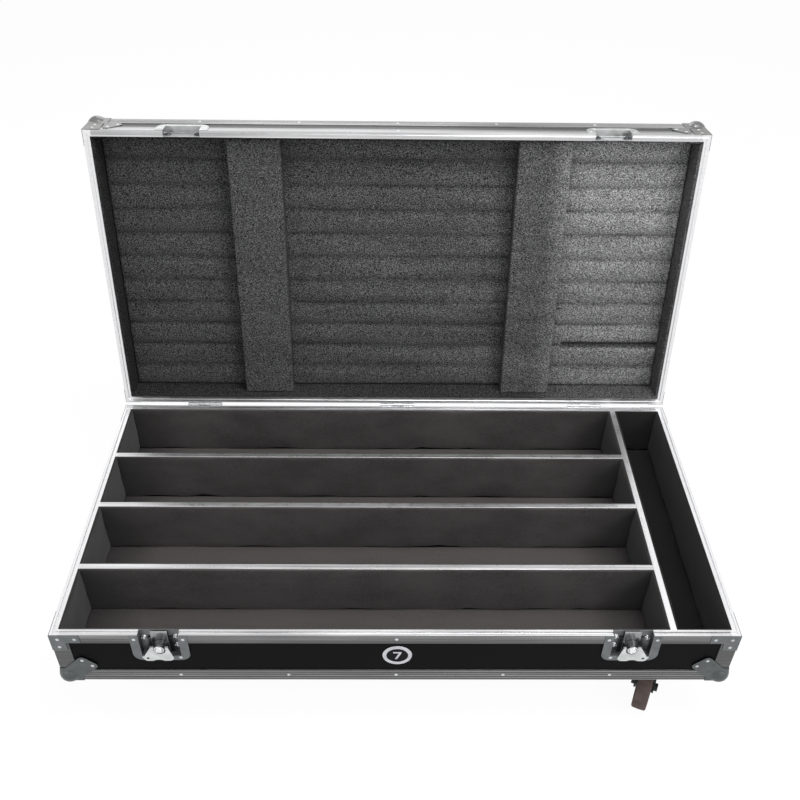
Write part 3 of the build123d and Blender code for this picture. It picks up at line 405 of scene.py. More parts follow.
def foam_paint(name, brightness):
    """Open cell foam: pale specks of cut cell walls over dark pores. The cells are drawn out a little
    along the slant in which the sheet was sliced. The foam is paler in rubbed patches, which painted
    light from the right shows more towards the right, and painted light makes the right end of the lid
    paler still, most at its top. Painted shade darkens the sheet's valleys and the blocks' sides."""
    paint = Paint(name)
    colour = settings().foam_colour
    slant = {"Vector": paint.place, "Rotation": (0.0, math.radians(38), 0.0), "Scale": (1.0, 1.0, 1.6)}
    slanted = paint.node("ShaderNodeMapping", {}, slant).outputs[0]
    fine = paint.noise(640.0, 2.0, 0.75, slanted)
    coarse = paint.noise(290.0, 2.0, 0.6, slanted)
    patches = paint.noise(5.0, 4.0, 0.55)
    rubbed = paint.between(paint.noise(1.0, 4.0, 0.6, paint.stretched((3.0, 9.0, 26.0))), 0.42, 0.75)
    specks = paint.between(fine * 0.75 + coarse * 0.25, 0.48, 0.58)
    tone = paint.blend(specks, rgba(colour, 0.08 * brightness), rgba(colour, 2.6 * brightness))
    # The lit colour that the painted light and the rubbed patches blend towards.
    worn = paint.blend(specks, rgba(colour, 0.45 * brightness), rgba(colour, 11.0 * brightness))
    # Painted light from the right: side grows from the left end to the right end, right picks out the right
    # end of the lid and far its upper part.
    right = paint.between(paint.axis("X"), HALF_LENGTH * 0.5, HALF_LENGTH * 0.62)
    side = paint.between(paint.axis("X"), -HALF_LENGTH, HALF_LENGTH) * 0.62
    far = paint.between(paint.axis("Z"), LID_PIN[2] + 0.26, LID_PIN[2] + 0.52)
    # Rubbed patches, shown more towards the right by the painted light, plus painted light on the right
    # end.
    wear = (rubbed * 0.5 + patches * 0.4) * side + right * (far * 0.4 + 0.5)
    tone = paint.blend(wear.clamp(), tone, worn)
    # Painted shade in the sheet's valleys and down the blocks' sides.
    tone = paint.blend(paint.share("hollow").clamp(), tone, rgba(colour, 0.12 * brightness))
    return paint.finish(Base_Color=tone, Roughness=0.97, Specular_IOR_Level=0.1,
                        Normal=paint.bump(fine * 0.6 + coarse * 0.4, 0.8, 0.0012))


def plated_paint(name, colour, roughness, wear):
    """Zinc or nickel plate: a cloudy tone, small scratches and a duller film in patches."""
    paint = Paint(name)
    cloud = paint.noise(55.0, 5.0, 0.6)
    scratch = paint.between(paint.noise(1.0, 5.0, 0.75, paint.stretched((900.0, 120.0, 260.0))), 0.6, 0.78)
    grain = paint.noise(900.0, 2.0, 0.6)
    tone = paint.blend(paint.between(cloud, 0.3, 0.7), rgba(colour, 0.78), rgba(colour, 1.15))
    tone = paint.blend(scratch * wear, tone, rgba(colour, 1.5))
    rough = roughness + cloud * 0.12 + scratch * wear * 0.2
    return paint.finish(Base_Color=tone, Metallic=0.95, Roughness=rough,
                        Normal=paint.bump(grain + scratch, 0.08, 0.0002))


def black_steel_paint():
    """Satin black paint on the castor forks, thin on its edges."""
    paint = Paint("black_steel")
    peel = paint.noise(420.0, 3.0, 0.6)
    chips = paint.between(paint.noise(95.0, 5.0, 0.7), 0.68, 0.74)
    tone = paint.blend(chips, (0.012, 0.012, 0.013, 1.0), (0.11, 0.10, 0.095, 1.0))
    return paint.finish(Base_Color=tone, Metallic=0.3, Roughness=0.4 + peel * 0.15 + chips * 0.2,
                        Normal=paint.bump(peel, 0.15, 0.0003))


def tread_paint():
    """Brown-grey rubber tread with dust and scuffs."""
    paint = Paint("castor_tread")
    colour = settings().tread_colour
    dust = paint.noise(60.0, 6.0, 0.7)
    grit = paint.noise(800.0, 2.0, 0.6)
    tone = paint.blend(paint.between(dust, 0.4, 0.75), rgba(colour), rgba(colour, 1.9))
    return paint.finish(Base_Color=tone, Roughness=0.8 + dust * 0.12,
                        Normal=paint.bump(grit + dust, 0.3, 0.0004))


def moulded_paint(name, colour, gloss):
    """Moulded plastic with a fine spark finish."""
    paint = Paint(name)
    grain = paint.noise(1200.0, 2.0, 0.6)
    cloud = paint.noise(30.0, 4.0, 0.6)
    tone = paint.blend(cloud, rgba(colour, 0.8), rgba(colour, 1.25))
    return paint.finish(Base_Color=tone, Roughness=0.42 + cloud * 0.18, Specular_IOR_Level=gloss,
                        Normal=paint.bump(grain, 0.2, 0.0002))


PLATINGS = {
    "zinc": ("zinc_plate", (0.17, 0.18, 0.185), 0.36, 0.5),
    "bright_zinc": ("keeper_plate", (0.46, 0.47, 0.47), 0.24, 0.5),
    "dark_zinc": ("latch_works_plate", (0.07, 0.075, 0.08), 0.3, 0.7),
    # The ball corners and braces are the same steel on both bodies in two tones, painted light: lighter on
    # the lid, darker on the base.
    "ball_steel": ("ball_corner_plate", (0.11, 0.12, 0.122), 0.27, 0.3),
    "lid_ball_steel": ("lid_ball_corner_plate", (0.21, 0.215, 0.21), 0.25, 0.3),
    "lid_zinc": ("lid_brace_plate", (0.23, 0.23, 0.225), 0.3, 0.4),
    "hook_plate": ("hook_plate", (0.33, 0.34, 0.34), 0.2, 0.6),
    "bright": ("bright_plate", (0.78, 0.80, 0.80), 0.16, 0.3),
    "wing": ("latch_wing_plate", (0.64, 0.66, 0.66), 0.2, 0.3),
    "rivet": ("rivet_plate", (0.62, 0.63, 0.64), 0.22, 0.2),
    # The hub's collar is painted dark, a painted reflection on the chrome hub.
    "hub_collar": ("hub_collar_plate", (0.2, 0.205, 0.21), 0.14, 0.5),
    "screw": ("screw_plate", (0.5, 0.51, 0.52), 0.14, 0.5),
    "plate_rim": ("number_plate_rim", (0.62, 0.62, 0.66), 0.34, 0.2),
}
OTHER_FINISHES = {
    # The last number is how deep the upright legs' painted shade is, deeper on the base than on the lid.
    "edging_base": (edging_paint, "edging_base", (1400.0, 6.0, 1400.0), False, 0.74),
    "edging_lid": (edging_paint, "edging_lid", (1400.0, 1400.0, 6.0), True, 0.42),
    "laminate": (laminate_paint, "base_laminate", 0.05),
    "lid_laminate": (laminate_paint, "lid_laminate", 0.5),
    "lining": (lining_paint, "bay_lining", 1.0),
    # The side bay's lining is the bay lining painted far darker, as painted shade.
    "side_lining": (lining_paint, "side_bay_lining", 0.24),
    "foam": (foam_paint, "lid_foam", 1.0),
    "wall_foam": (foam_paint, "lid_wall_foam", 0.4),
    "black_steel": (black_steel_paint,),
    "tread": (tread_paint,),
    "hub": (moulded_paint, "castor_hub", (0.03, 0.03, 0.032), 0.5),
    "plate_face": (moulded_paint, "number_plate_face", (0.005, 0.005, 0.007), 0.08),
}
PAINTS = {}


def paint_named(name):
    """Makes each finish once, a plating from its colour, roughness and wear."""
    if name not in PAINTS:
        maker, *values = OTHER_FINISHES.get(name) or (plated_paint, *PLATINGS[name])
        PAINTS[name] = maker(*values)
    return PAINTS[name]


def placed(name, data):
    """A new object in the scene from a mesh, a light or a camera."""
    item = bpy.data.objects.new(name, data)
    bpy.context.scene.collection.objects.link(item)
    return item


def smoothed(mesh, paint, angle):
    """Gives a mesh its finish, and smooth shading apart from the edges sharper than angle."""
    mesh.materials.append(paint_named(paint))
    mesh.polygons.foreach_set("use_smooth", np.ones(len(mesh.polygons), dtype=bool))
    mesh.set_sharp_from_angle(angle=math.radians(angle))


def mesh_object(name, vertices, faces, paint, smooth_angle=35.0):
    """A new piece at the origin from vertex and face lists."""
    mesh = bpy.data.meshes.new(name)
    mesh.from_pydata(np.asarray(vertices).tolist(), [], faces)
    piece = placed(name, mesh)
    smoothed(mesh, paint, smooth_angle)
    mesh.validate()
    return piece


def gather(parts):
    """Joins (vertices, faces) pairs into one pair."""
    vertices, faces, count = [], [], 0
    for part_vertices, part_faces in parts:
        vertices.append(np.asarray(part_vertices, float).reshape(-1, 3))
        faces += [[index + count for index in face] for face in part_faces]
        count += len(vertices[-1])
    return np.concatenate(vertices), faces


def grid_faces(rows, columns, wrap=False):
    """Quads of a grid of points, row by row. wrap joins the last column to the first."""
    strips = columns if wrap else columns - 1
    row, column = np.meshgrid(np.arange(rows - 1), np.arange(strips), indexing="ij")
    following = (column + 1) % columns
    quads = np.stack([row * columns + column, row * columns + following,
                      (row + 1) * columns + following, (row + 1) * columns + column], axis=-1)
    return quads.reshape(-1, 4).tolist()


def spaced(low, high, step, edge):
    """Places from low to high, about a step apart, with closer ones over a rounded edge at both ends."""
    rise = edge * (1 - np.cos(np.linspace(0, math.pi / 2, 5)))
    count = max(int(round((high - low - 2 * edge) / step)), 1) + 1
    middle = np.linspace(low + edge, high - edge, count)
    return np.concatenate([low + rise[:-1], middle, high - rise[:-1][::-1]])


def pad_surface(place, length, width, thickness, edge, step, relief=None):
    """A pad as (vertices, faces). Over the rectangle length by width its top stands at
    thickness + relief(a, b), and within edge of the border it falls along a quarter circle:
    drop = edge - sqrt(edge^2 - (edge - d)^2) for d the distance to the border. Its sides go straight
    down to a flat back, one face within their ring. place turns (a, b, height) into points."""
    a, b = np.meshgrid(spaced(0, length, step, edge), spaced(0, width, step, edge), indexing="ij")
    near_a = np.minimum(a, length - a)
    near_b = np.minimum(b, width - b)
    gap_a = np.clip(edge - near_a, 0, edge)
    gap_b = np.clip(edge - near_b, 0, edge)
    gap = np.clip(np.sqrt(gap_a**2 + gap_b**2), 0, edge)
    drop = edge - np.sqrt(np.clip(edge**2 - gap**2, 0, None))
    height = thickness - drop
    if relief is not None:
        height = height + relief(a, b) * (1 - gap / edge)
    rows, columns = a.shape
    top = np.stack([a, b, height], axis=-1).reshape(-1, 3)
    ring = np.concatenate([np.arange(columns), np.arange(1, rows) * columns + columns - 1,
                           (rows - 1) * columns + np.arange(columns - 2, -1, -1),
                           np.arange(rows - 2, 0, -1) * columns])
    skirt = top[ring].copy()
    skirt[:, 2] = 0
    count = len(top)
    size = len(ring)
    faces = grid_faces(rows, columns)
    low = count + np.arange(size)
    after = np.roll(np.arange(size), -1)
    faces += np.stack([ring, low, low[after], ring[after]], axis=-1).tolist()
    faces.append(low[::-1].tolist())
    return place(np.concatenate([top, skirt])), faces


def set_share(piece, name, values):
    """Stores a share from 0 to 1 for each vertex, which the piece's shader reads by its name."""
    attribute = piece.data.attributes.new(name, "FLOAT", "POINT")
    attribute.data.foreach_set("value", np.ascontiguousarray(values, dtype=np.float32))


def facing_out(piece, weld=None):
    """Turns a closed piece's faces outwards. weld is how near points are merged first, as at the poles."""
    shell = bmesh.new()
    shell.from_mesh(piece.data)
    if weld is not None:
        bmesh.ops.remove_doubles(shell, verts=shell.verts, dist=weld)
    bmesh.ops.recalc_face_normals(shell, faces=shell.faces)
    shell.to_mesh(piece.data)
    shell.free()
    return piece


def hardware(name, surface, paint, body, smooth_angle):
    """A closed metal or rubber piece that rides on a body, from a (vertices, faces) pair."""
    piece = facing_out(mesh_object(name, *surface, paint, smooth_angle), POLE_WELD)
    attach(piece, body)
    return piece


def on_axes(origin, along, across, out):
    """Places (a, b, height) at origin + a along + b across + height out."""
    basis = np.array([along, across, out], float)
    start = np.array(origin, float)
    return lambda points: start + np.asarray(points) @ basis


def soft_wave(seed, height, along=0.23, across=0.11):
    """A low wave: the sum of three sine products whose phases come from the seed."""
    chance = np.random.default_rng(seed)
    phases = chance.uniform(0, 2 * math.pi, (3, 2))
    rates = [(1.0, 1.0), (2.3, 1.7), (4.1, 0.6)]

    def relief(a, b):
        total = 0
        for (rate_a, rate_b), (phase_a, phase_b) in zip(rates, phases):
            wave_a = np.sin(2 * math.pi * a * rate_a / along + phase_a)
            wave_b = np.sin(2 * math.pi * b * rate_b / across + phase_b)
            total = total + wave_a * wave_b / rate_a
        return height * total / 2

    return relief


def bay_spans():
    """(x0, x1, y0, y1) of each bay between the rims and the channels over the dividers."""
    low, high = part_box("divider_channels")
    cross_low, cross_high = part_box("cross_divider")
    skin = high[0] - cross_high[0]
    names = ("long_divider_front", "long_divider_middle", "long_divider_back")
    dividers = [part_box(name) for name in names]
    fronts = [low[1]] + [box[1][1] + skin for box in dividers]
    backs = [box[0][1] - skin for box in dividers] + [high[1]]
    spans = [(low[0], cross_low[0] - skin, front, back) for front, back in zip(fronts, backs)]
    return spans, (cross_high[0] + skin, HALF_LENGTH - RIM_WIDTH, low[1], high[1])


def lifted(place, length, width, seed):
    """A wall's placing with its lower edge lifted off the floor by lift (1 + w(a)) / 2, for w the mean of
    two sine waves along it, and by 0.8 lift exp(-((a - k) / r)^2) at two kinks k. The lift fades to
    nothing at the top edge, b = width."""
    chance = np.random.default_rng(seed)
    phase_long, phase_short = chance.uniform(0, 2 * math.pi, 2)
    kinks = chance.uniform(0.1, 0.9, 2) * length
    lift = settings().lining_lift

    def warped(points):
        a, b, height = np.asarray(points, float).T
        wave_long = np.sin(2 * math.pi * a / LIFT_LONG + phase_long)
        wave_short = np.sin(2 * math.pi * a / LIFT_SHORT + phase_short)
        wave = (wave_long + wave_short) / 2
        bumps = sum(np.exp(-(((a - kink) / KINK_REACH) ** 2)) for kink in kinks)
        raised = b + lift * ((1 + wave) / 2 + bumps * 0.8) * (1 - b / width)
        return place(np.stack([a, raised, height], axis=-1))

    return warped


def bay_lining(span, top, seed):
    """One bay's five cut pieces of lining: the floor first, and four walls that stand on it."""
    x0, x1, y0, y1 = span
    edge = settings().lining_round
    wave = settings().lining_wave
    base = FLOOR_TOP + LINING
    rise = top - base
    step = 12 * MM
    floor = on_axes((x0, y0, FLOOR_TOP), (1, 0, 0), (0, 1, 0), (0, 0, 1))
    relief = soft_wave(seed, 2 * wave, 0.31, 0.2)
    parts = [pad_surface(floor, x1 - x0, y1 - y0, LINING, edge, step, relief)]
    inner = x1 - x0 - 2 * LINING
    walls = (
        ((x0 + LINING, y0, base), (1, 0, 0), (0, 1, 0), inner),
        ((x0 + LINING, y1, base), (1, 0, 0), (0, -1, 0), inner),
        ((x0, y0, base), (0, 1, 0), (1, 0, 0), y1 - y0),
        ((x1, y0, base), (0, 1, 0), (-1, 0, 0), y1 - y0),
    )
    for number, (origin, along, out, length) in enumerate(walls):
        place = lifted(on_axes(origin, along, (0, 0, 1), out), length, rise, seed * 5 + number)
        relief = soft_wave(seed * 7 + number, wave)
        parts.append(pad_surface(place, length, rise, LINING, edge, step, relief))
    return parts


def in_lid(corner, along=(1, 0, 0), across=(0, 1, 0), out=(0, 0, -1)):
    """As on_axes, in the closed lid, and then swung open. Unless told, a runs along X, b towards the
    hinges and height towards the rim."""
    flat = on_axes(corner, along, across, out)
    return lambda points: closed_to_open(flat(points))


def turned(profile, centre, axis, steps=96):
    """A closed shape of revolution as (vertices, faces). Each profile point (r, s) traces the circle
    centre + s axis + r (cos t, sin t) in the plane square to the axis. Points with r = 0 are poles."""
    axis = np.array(axis, float) / np.linalg.norm(axis)
    helper = np.array([0.0, 0.0, 1.0]) if abs(axis[2]) < 0.9 else np.array([1.0, 0.0, 0.0])
    u = np.cross(axis, helper)
    u = u / np.linalg.norm(u)
    v = np.cross(axis, u)
    angle = np.linspace(0, 2 * math.pi, steps, endpoint=False)
    ring = np.cos(angle)[:, None] * u + np.sin(angle)[:, None] * v
    radius, shift = np.array(profile, float).T
    points = np.array(centre) + shift[:, None, None] * axis + radius[:, None, None] * ring[None]
    return points.reshape(-1, 3), grid_faces(len(profile), steps, wrap=True)


def rounded(points, radius, steps=5):
    """Rounds the inner corners of an open (r, s) line: each corner becomes a curve that leaves and
    joins its two runs at most radius from it, P(t) = (1-t)^2 A + 2t(1-t) C + t^2 B."""
    points = [np.array(point, float) for point in points]
    line = [points[0]]
    for before, corner, after in zip(points, points[1:], points[2:]):
        back = before - corner
        forth = after - corner
        reach = min(radius, np.linalg.norm(back) * 0.45, np.linalg.norm(forth) * 0.45)
        start = corner + back / np.linalg.norm(back) * reach
        end = corner + forth / np.linalg.norm(forth) * reach
        for t in np.linspace(0, 1, steps):
            line.append((1 - t) ** 2 * start + 2 * t * (1 - t) * corner + t**2 * end)
    line.append(points[-1])
    return line


def mirrored(line):
    """The other half of a line of (radius, shift), back from its end."""
    return [(radius, -shift) for radius, shift in line[::-1]]


def dress(names, paint):
    """Gives CAD nodes a finish."""
    for name in names:
        mesh = frame["nodes"][name].data
        mesh.materials.clear()
        mesh.materials.append(paint_named(paint))


def softened(node, body, paint, width, segments=2, angle=30.0):
    """A copy of a CAD node with its loose triangles merged into faces and its edges rounded over."""
    shell = bmesh.new()
    shell.from_mesh(frame["nodes"][node].data)
    bmesh.ops.remove_doubles(shell, verts=shell.verts, dist=CAD_WELD)
    bmesh.ops.dissolve_limit(shell, angle_limit=math.radians(0.6), verts=shell.verts, edges=shell.edges)
    mesh = bpy.data.meshes.new(f"{node}_dressed")
    shell.to_mesh(mesh)
    shell.free()
    piece = placed(f"{node}_dressed", mesh)
    smoothed(mesh, paint, angle)
    bevel = piece.modifiers.new("rounded edges", "BEVEL")
    bevel.width = width
    bevel.segments = segments
    bevel.limit_method = "ANGLE"
    bevel.angle_limit = math.radians(angle)
    bevel.harden_normals = True
    bevel.use_clamp_overlap = True
    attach(piece, body)
    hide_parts(node)
    return piece


def soft_piece(piece, body, node):
    """Attaches a lining or foam piece, tight over its whole back, to its body and hides the CAD node it
    stands in for.
    """
    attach(piece, body)
    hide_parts(node)


class CASE_OT_panels(bpy.types.Operator):
    """Finishes the laminated panels and the dividers"""

    bl_idname = "case.panels"
    bl_label = "Panels"

    def execute(self, context):
        dividers = [name for name in frame["nodes"] if "divider" in name and name != "divider_channels"]
        dress([name for name in frame["nodes"] if name.startswith("base_") and "panel" in name], "laminate")
        dress(dividers, "laminate")
        dress(["lid_top_panel", "lid_front_wall", "lid_back_wall", "lid_side_walls"], "lid_laminate")
        return {"FINISHED"}


class CASE_OT_edging(bpy.types.Operator):
    """Finishes the aluminium edging, rims, corner angles and divider channels"""

    bl_idname = "case.edging"
    bl_label = "Edging"

    def execute(self, context):
        dress(["base_rim_edging", "base_bottom_edging", "base_corner_angles"], "edging_base")
        softened("divider_channels", "base", "edging_base", 1.2 * MM, 3)
        dress(["lid_rim_edging", "lid_top_edging", "lid_corner_angles"], "edging_lid")
        return {"FINISHED"}


class CASE_OT_corners(bpy.types.Operator):
    """Finishes the ball corners, corner braces, rivets and hinges"""

    bl_idname = "case.corners"
    bl_label = "Corners and hinges"

    def execute(self, context):
        # Each body's ball corners and braces take their own tone, which is painted light.
        for body, ball, brace in (("base", "ball_steel", "zinc"), ("lid", "lid_ball_steel", "lid_zinc")):
            softened(f"{body}_ball_corners", body, ball, 1.2 * MM, 3, 25.0)
            softened(f"{body}_corner_braces", body, brace, 0.4 * MM)
        for body in ("base", "lid"):
            softened(f"hinge_{body}_leaves", body, "rivet", 0.4 * MM)
        dress(["base_rivets", "lid_rivets", "castor_bolts", "hinge_pins"], "rivet")
        return {"FINISHED"}


class CASE_OT_bay_linings(bpy.types.Operator):
    """Cuts and glues the linings of the five bays"""

    bl_idname = "case.bay_linings"
    bl_label = "Bay linings"

    def execute(self, context):
        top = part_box("side_bay_lining")[1][2]
        long_spans, side_span = bay_spans()
        bays = (
            ("long_bay_lining_sheets", "long_bay_linings", long_spans, 11, "lining"),
            ("side_bay_lining_sheets", "side_bay_lining", [side_span], 29, "side_lining"),
        )
        for name, node, spans, seed, paint in bays:
            parts = []
            for number, span in enumerate(spans):
                parts += bay_lining(span, top, seed + number)
            piece = facing_out(mesh_object(name, *gather(parts), paint))
            # The floors, which the lining's paint makes paler as painted light.
            floors = np.arange(len(parts)) % PADS_PER_BAY == 0
            set_share(piece, "floor", np.repeat(floors, [len(vertices) for vertices, faces in parts]))
            soft_piece(piece, "base", node)
        return {"FINISHED"}


class CASE_OT_lid_foam(bpy.types.Operator):
    """Makes the lid's ridged foam sheet, wall strips and two foam blocks"""

    bl_idname = "case.lid_foam"
    bl_label = "Lid foam"

    def execute(self, context):
        sheet = self.sheet()
        walls = self.walls()
        blocks = [self.block(side, seed) for side, seed in zip(SIDES, (3, 5))]
        nodes = ["lid_foam_sheet", "lid_wall_lining"] + [f"lid_foam_block_{side}" for side in SIDES]
        for piece, node in zip([sheet, walls] + blocks, nodes):
            soft_piece(piece, "lid", node)
        return {"FINISHED"}

    def sheet(self):
        """The sheet's ridges run along X. Across them the height is ridge * sqrt(|sin(pi b / pitch)|),
        worn lower in places, and one pressed groove of depth exp(-((b - c) / r)^2) runs along the right
        end near the hinges. Points below the ridges' upper part get a share of painted shade."""
        low, high = closed_box("lid_foam_sheet")
        length, width = high[0] - low[0], high[1] - low[1]
        ridge = settings().foam_ridge
        pitch = width / settings().foam_ridges
        thickness = high[2] - low[2] - ridge
        wave = soft_wave(41, 1.0, 0.9, 0.31)
        slow = soft_wave(43, 1.0, 0.5, 0.17)
        groove_b = width * 0.815
        groove_from = length * 0.815
        groove_depth = 6 * MM
        groove_reach = 6 * MM
        ridge_drift = 4 * MM

        def relief(a, b):
            shifted = b + ridge_drift * wave(a, b)
            ridges = ridge * np.sqrt(np.abs(np.sin(math.pi * shifted / pitch)))
            worn = 0.75 + 0.25 * slow(a, b)
            groove = groove_depth * np.exp(-(((b - groove_b) / groove_reach) ** 2)) * (a > groove_from)
            return ridges * worn - groove

        place = in_lid((low[0], low[1], high[2]))
        surface = pad_surface(place, length, width, thickness, 3 * MM, 5.2 * MM, relief)
        sheet = facing_out(mesh_object("lid_foam_ridged_sheet", *surface, "foam", 60.0))
        height = high[2] - open_to_closed(piece_points(sheet))[:, 2]
        # Painted shade for points below the ridges' upper part, deepest in the valleys.
        shaded = ridge * 0.62
        sunken = (thickness + shaded - height) / shaded
        set_share(sheet, "hollow", np.clip(sunken, 0, 1) ** 1.5 * 0.75)
        return sheet

    def walls(self):
        """Four strips of foam round the lid's walls, with soft cut edges."""
        low, high = closed_box("lid_wall_lining")
        sheet_low = closed_box("lid_foam_sheet")[0]
        thickness = sheet_low[1] - low[1] - 0.3 * MM
        rise = high[2] - low[2]
        length, width = high[0] - low[0], high[1] - low[1]
        strips = (
            ((low[0], low[1], high[2]), (1, 0, 0), (0, 1, 0), length),
            ((low[0], high[1], high[2]), (1, 0, 0), (0, -1, 0), length),
            ((low[0], low[1] + thickness, high[2]), (0, 1, 0), (1, 0, 0), width - 2 * thickness),
            ((high[0], low[1] + thickness, high[2]), (0, 1, 0), (-1, 0, 0), width - 2 * thickness),
        )
        parts = []
        for number, (origin, along, out, run) in enumerate(strips):
            place = in_lid(origin, along, (0, 0, -1), out)
            relief = soft_wave(61 + number, 0.4 * MM)
            parts.append(pad_surface(place, run, rise, thickness, 1.8 * MM, 10 * MM, relief))
        return facing_out(mesh_object("lid_wall_foam_strips", *gather(parts), "wall_foam", 60.0))

    def block(self, side, seed):
        """A long block, a little crowned across: height + crown (1 - (2a / length - 1)^2), plus a low
        wave. Its sides get a share of painted shade, more towards the sheet."""
        low, high = closed_box(f"lid_foam_block_{side}")
        length, width = high[0] - low[0], high[1] - low[1]
        base = closed_box("lid_foam_sheet")[1][2]
        crown = 0.8 * MM
        thickness = base - low[2] - crown
        wave = soft_wave(seed, crown, 0.4, 0.35)

        def relief(a, b):
            return crown * (1 - (2 * a / length - 1) ** 2) + wave(a, b) * 0.5

        place = in_lid((low[0], low[1], base))
        surface = pad_surface(place, length, width, thickness, settings().foam_round, 6 * MM, relief)
        block = facing_out(mesh_object(f"lid_foam_pressure_block_{side}", *surface, "foam", 60.0))
        height = base - open_to_closed(piece_points(block))[:, 2]
        # Painted shade down the block's sides, most towards the sheet.
        set_share(block, "hollow", np.clip(1 - height / thickness, 0, 1) ** 0.5 * 0.8)
        return block


class CASE_OT_latches(bpy.types.Operator):
    """Finishes the recessed latches and adds their screws and hub caps"""

    bl_idname = "case.latches"
    bl_label = "Latches"

    def execute(self, context):
        softened("latch_dishes", "base", "zinc", 0.5 * MM, 3)
        softened("latch_keepers", "lid", "bright_zinc", 0.5 * MM, 3)
        softened("latch_brackets", "base", "dark_zinc", 0.3 * MM)
        for side, inward in zip(SIDES, (1, -1)):
            softened(f"latch_wing_{side}", f"latch_wing_{side}", "wing", 0.7 * MM, 3)
            softened(f"latch_tongue_{side}", f"latch_tongue_{side}", "hook_plate", 0.4 * MM)
            # The collar painted dark, a painted reflection.
            softened(f"latch_hub_{side}", f"latch_hub_{side}", "hub_collar", 0.8 * MM, 3)
            self.hub_cap(side)
            self.base_screws(side, inward)
            self.lid_screws(side)
        return {"FINISHED"}

    def hub_cap(self, side):
        """A domed cap with a ring groove on the hub's face, its profile a share of the hub's radius."""
        low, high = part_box(f"latch_hub_{side}")
        radius = (high[0] - low[0]) / 2
        middle_x, _, middle_z = middle_of(f"latch_hub_{side}")
        shares = [(0.0, -0.27), (0.34, -0.24), (0.55, -0.15), (0.61, 0.02), (0.72, 0.02), (0.78, -0.11),
                  (0.91, 0.01), (0.91, 0.18), (0.0, 0.18)]
        profile = [(across * radius, along * radius) for across, along in shares]
        surface = turned(rounded(profile, 0.5 * MM, 4), (middle_x, low[1], middle_z), (0, 1, 0), 48)
        hardware(f"latch_hub_cap_{side}", surface, "bright", f"latch_hub_{side}", 50.0)

    def screw(self, centre):
        """A domed screw head on a cup washer, turned about Y. Its profile is the dome, the notch between
        the two and the washer's lip, for a washer 7.2 mm in radius, times the screw's scale."""
        profile = [(0.0, -5.2), (2.6, -4.7), (4.0, -3.4), (4.3, -1.4), (5.8, -2.6), (6.8, -1.2), (7.2, 0.0),
                   (0.0, 0.0)]
        line = [(across * MM * SCREW_SCALE, along * MM * SCREW_SCALE) for across, along in profile]
        return turned(rounded(line, 0.5 * MM, 4), centre, (0, 1, 0), 40)

    def base_screws(self, side, inward):
        """Three fixing screws in the base's pocket, two of them on the side towards the case's middle."""
        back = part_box("latch_dishes")[1][1] - LATCH_SKIN
        middle_x, _, middle_z = middle_of(f"latch_hub_{side}")
        spots = ((inward, 13 * MM), (inward, -11 * MM), (-inward, 10 * MM))
        parts = [self.screw((middle_x + way * SCREW_OFFSET, back, middle_z + up)) for way, up in spots]
        hardware(f"latch_fixing_screws_{side}", gather(parts), "screw", "base", 50.0)

    def lid_screws(self, side):
        """Two fixing screws in the lid's pocket, made with the lid closed and swung open."""
        low, high = closed_box("latch_keepers")
        middle_x = middle_of(f"latch_hub_{side}")[0]
        back, up = high[1] - LATCH_SKIN, low[2] + KEEPER_SCREW_RISE
        parts = [self.screw((middle_x + across, back, up)) for across in (-SCREW_OFFSET, SCREW_OFFSET)]
        vertices, faces = gather(parts)
        surface = (closed_to_open(vertices), faces)
        hardware(f"keeper_fixing_screws_{side}", surface, "dark_zinc", "lid", 50.0)


class CASE_OT_castors(bpy.types.Operator):
    """Turns the castor wheels and finishes the forks and plates"""

    bl_idname = "case.castors"
    bl_label = "Castors"

    def execute(self, context):
        softened("castor_plates", "base", "black_steel", 0.6 * MM)
        for corner in CORNERS:
            softened(f"castor_fork_{corner}", f"castor_fork_{corner}", "black_steel", 0.6 * MM)
            self.wheel(corner)
        return {"FINISHED"}

    def wheel(self, corner):
        """A rubber tyre with a slightly crowned tread, on a ribbed hub. Each is one half's line of
        (radius, shift along the axle), mirrored and turned about the axle."""
        node = f"castor_wheel_{corner}"
        low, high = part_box(node)
        axis = JOINTS[f"castor_{corner}_roll"]["axis"]
        radius = (high[2] - low[2]) / 2
        half = 13.5 * MM
        bore = 5.05 * MM
        boss = half + 2.1 * MM
        rim = radius - 12 * MM
        web = half - 7.5 * MM
        lip = half - 2.5 * MM
        tyre_side = [
            (rim, 0.0), (rim, lip), (rim + 2 * MM, half), (radius - 2.2 * MM, half),
            (radius - 0.4 * MM, half - 2.6 * MM)]
        hub_side = [
            (bore, 0.0), (bore, boss), (12.5 * MM, boss), (14.5 * MM, half - 6 * MM), (17 * MM, web),
            (rim - 6 * MM, web), (rim - 4 * MM, lip), (rim - 0.2 * MM, lip)]
        tyre_line = rounded(tyre_side + [(radius, 0.0)] + mirrored(tyre_side), 1.2 * MM, 5)
        hub_line = rounded(hub_side + mirrored(hub_side), 1 * MM, 4)
        for kind, line, steps, paint in (("tyre", tyre_line, 128, "tread"), ("hub", hub_line, 96, "hub")):
            surface = turned(line, middle_of(node), axis, steps)
            piece = hardware(f"castor_{kind}_{corner}", surface, paint, node, 40.0)
            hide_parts(node)


class CASE_OT_handles(bpy.types.Operator):
    """Finishes the drop handles"""

    bl_idname = "case.handles"
    bl_label = "Handles"

    def execute(self, context):
        softened("handle_plates", "base", "zinc", 0.5 * MM, 3)
        dress([f"handle_bail_{side}" for side in SIDES], "bright")
        return {"FINISHED"}


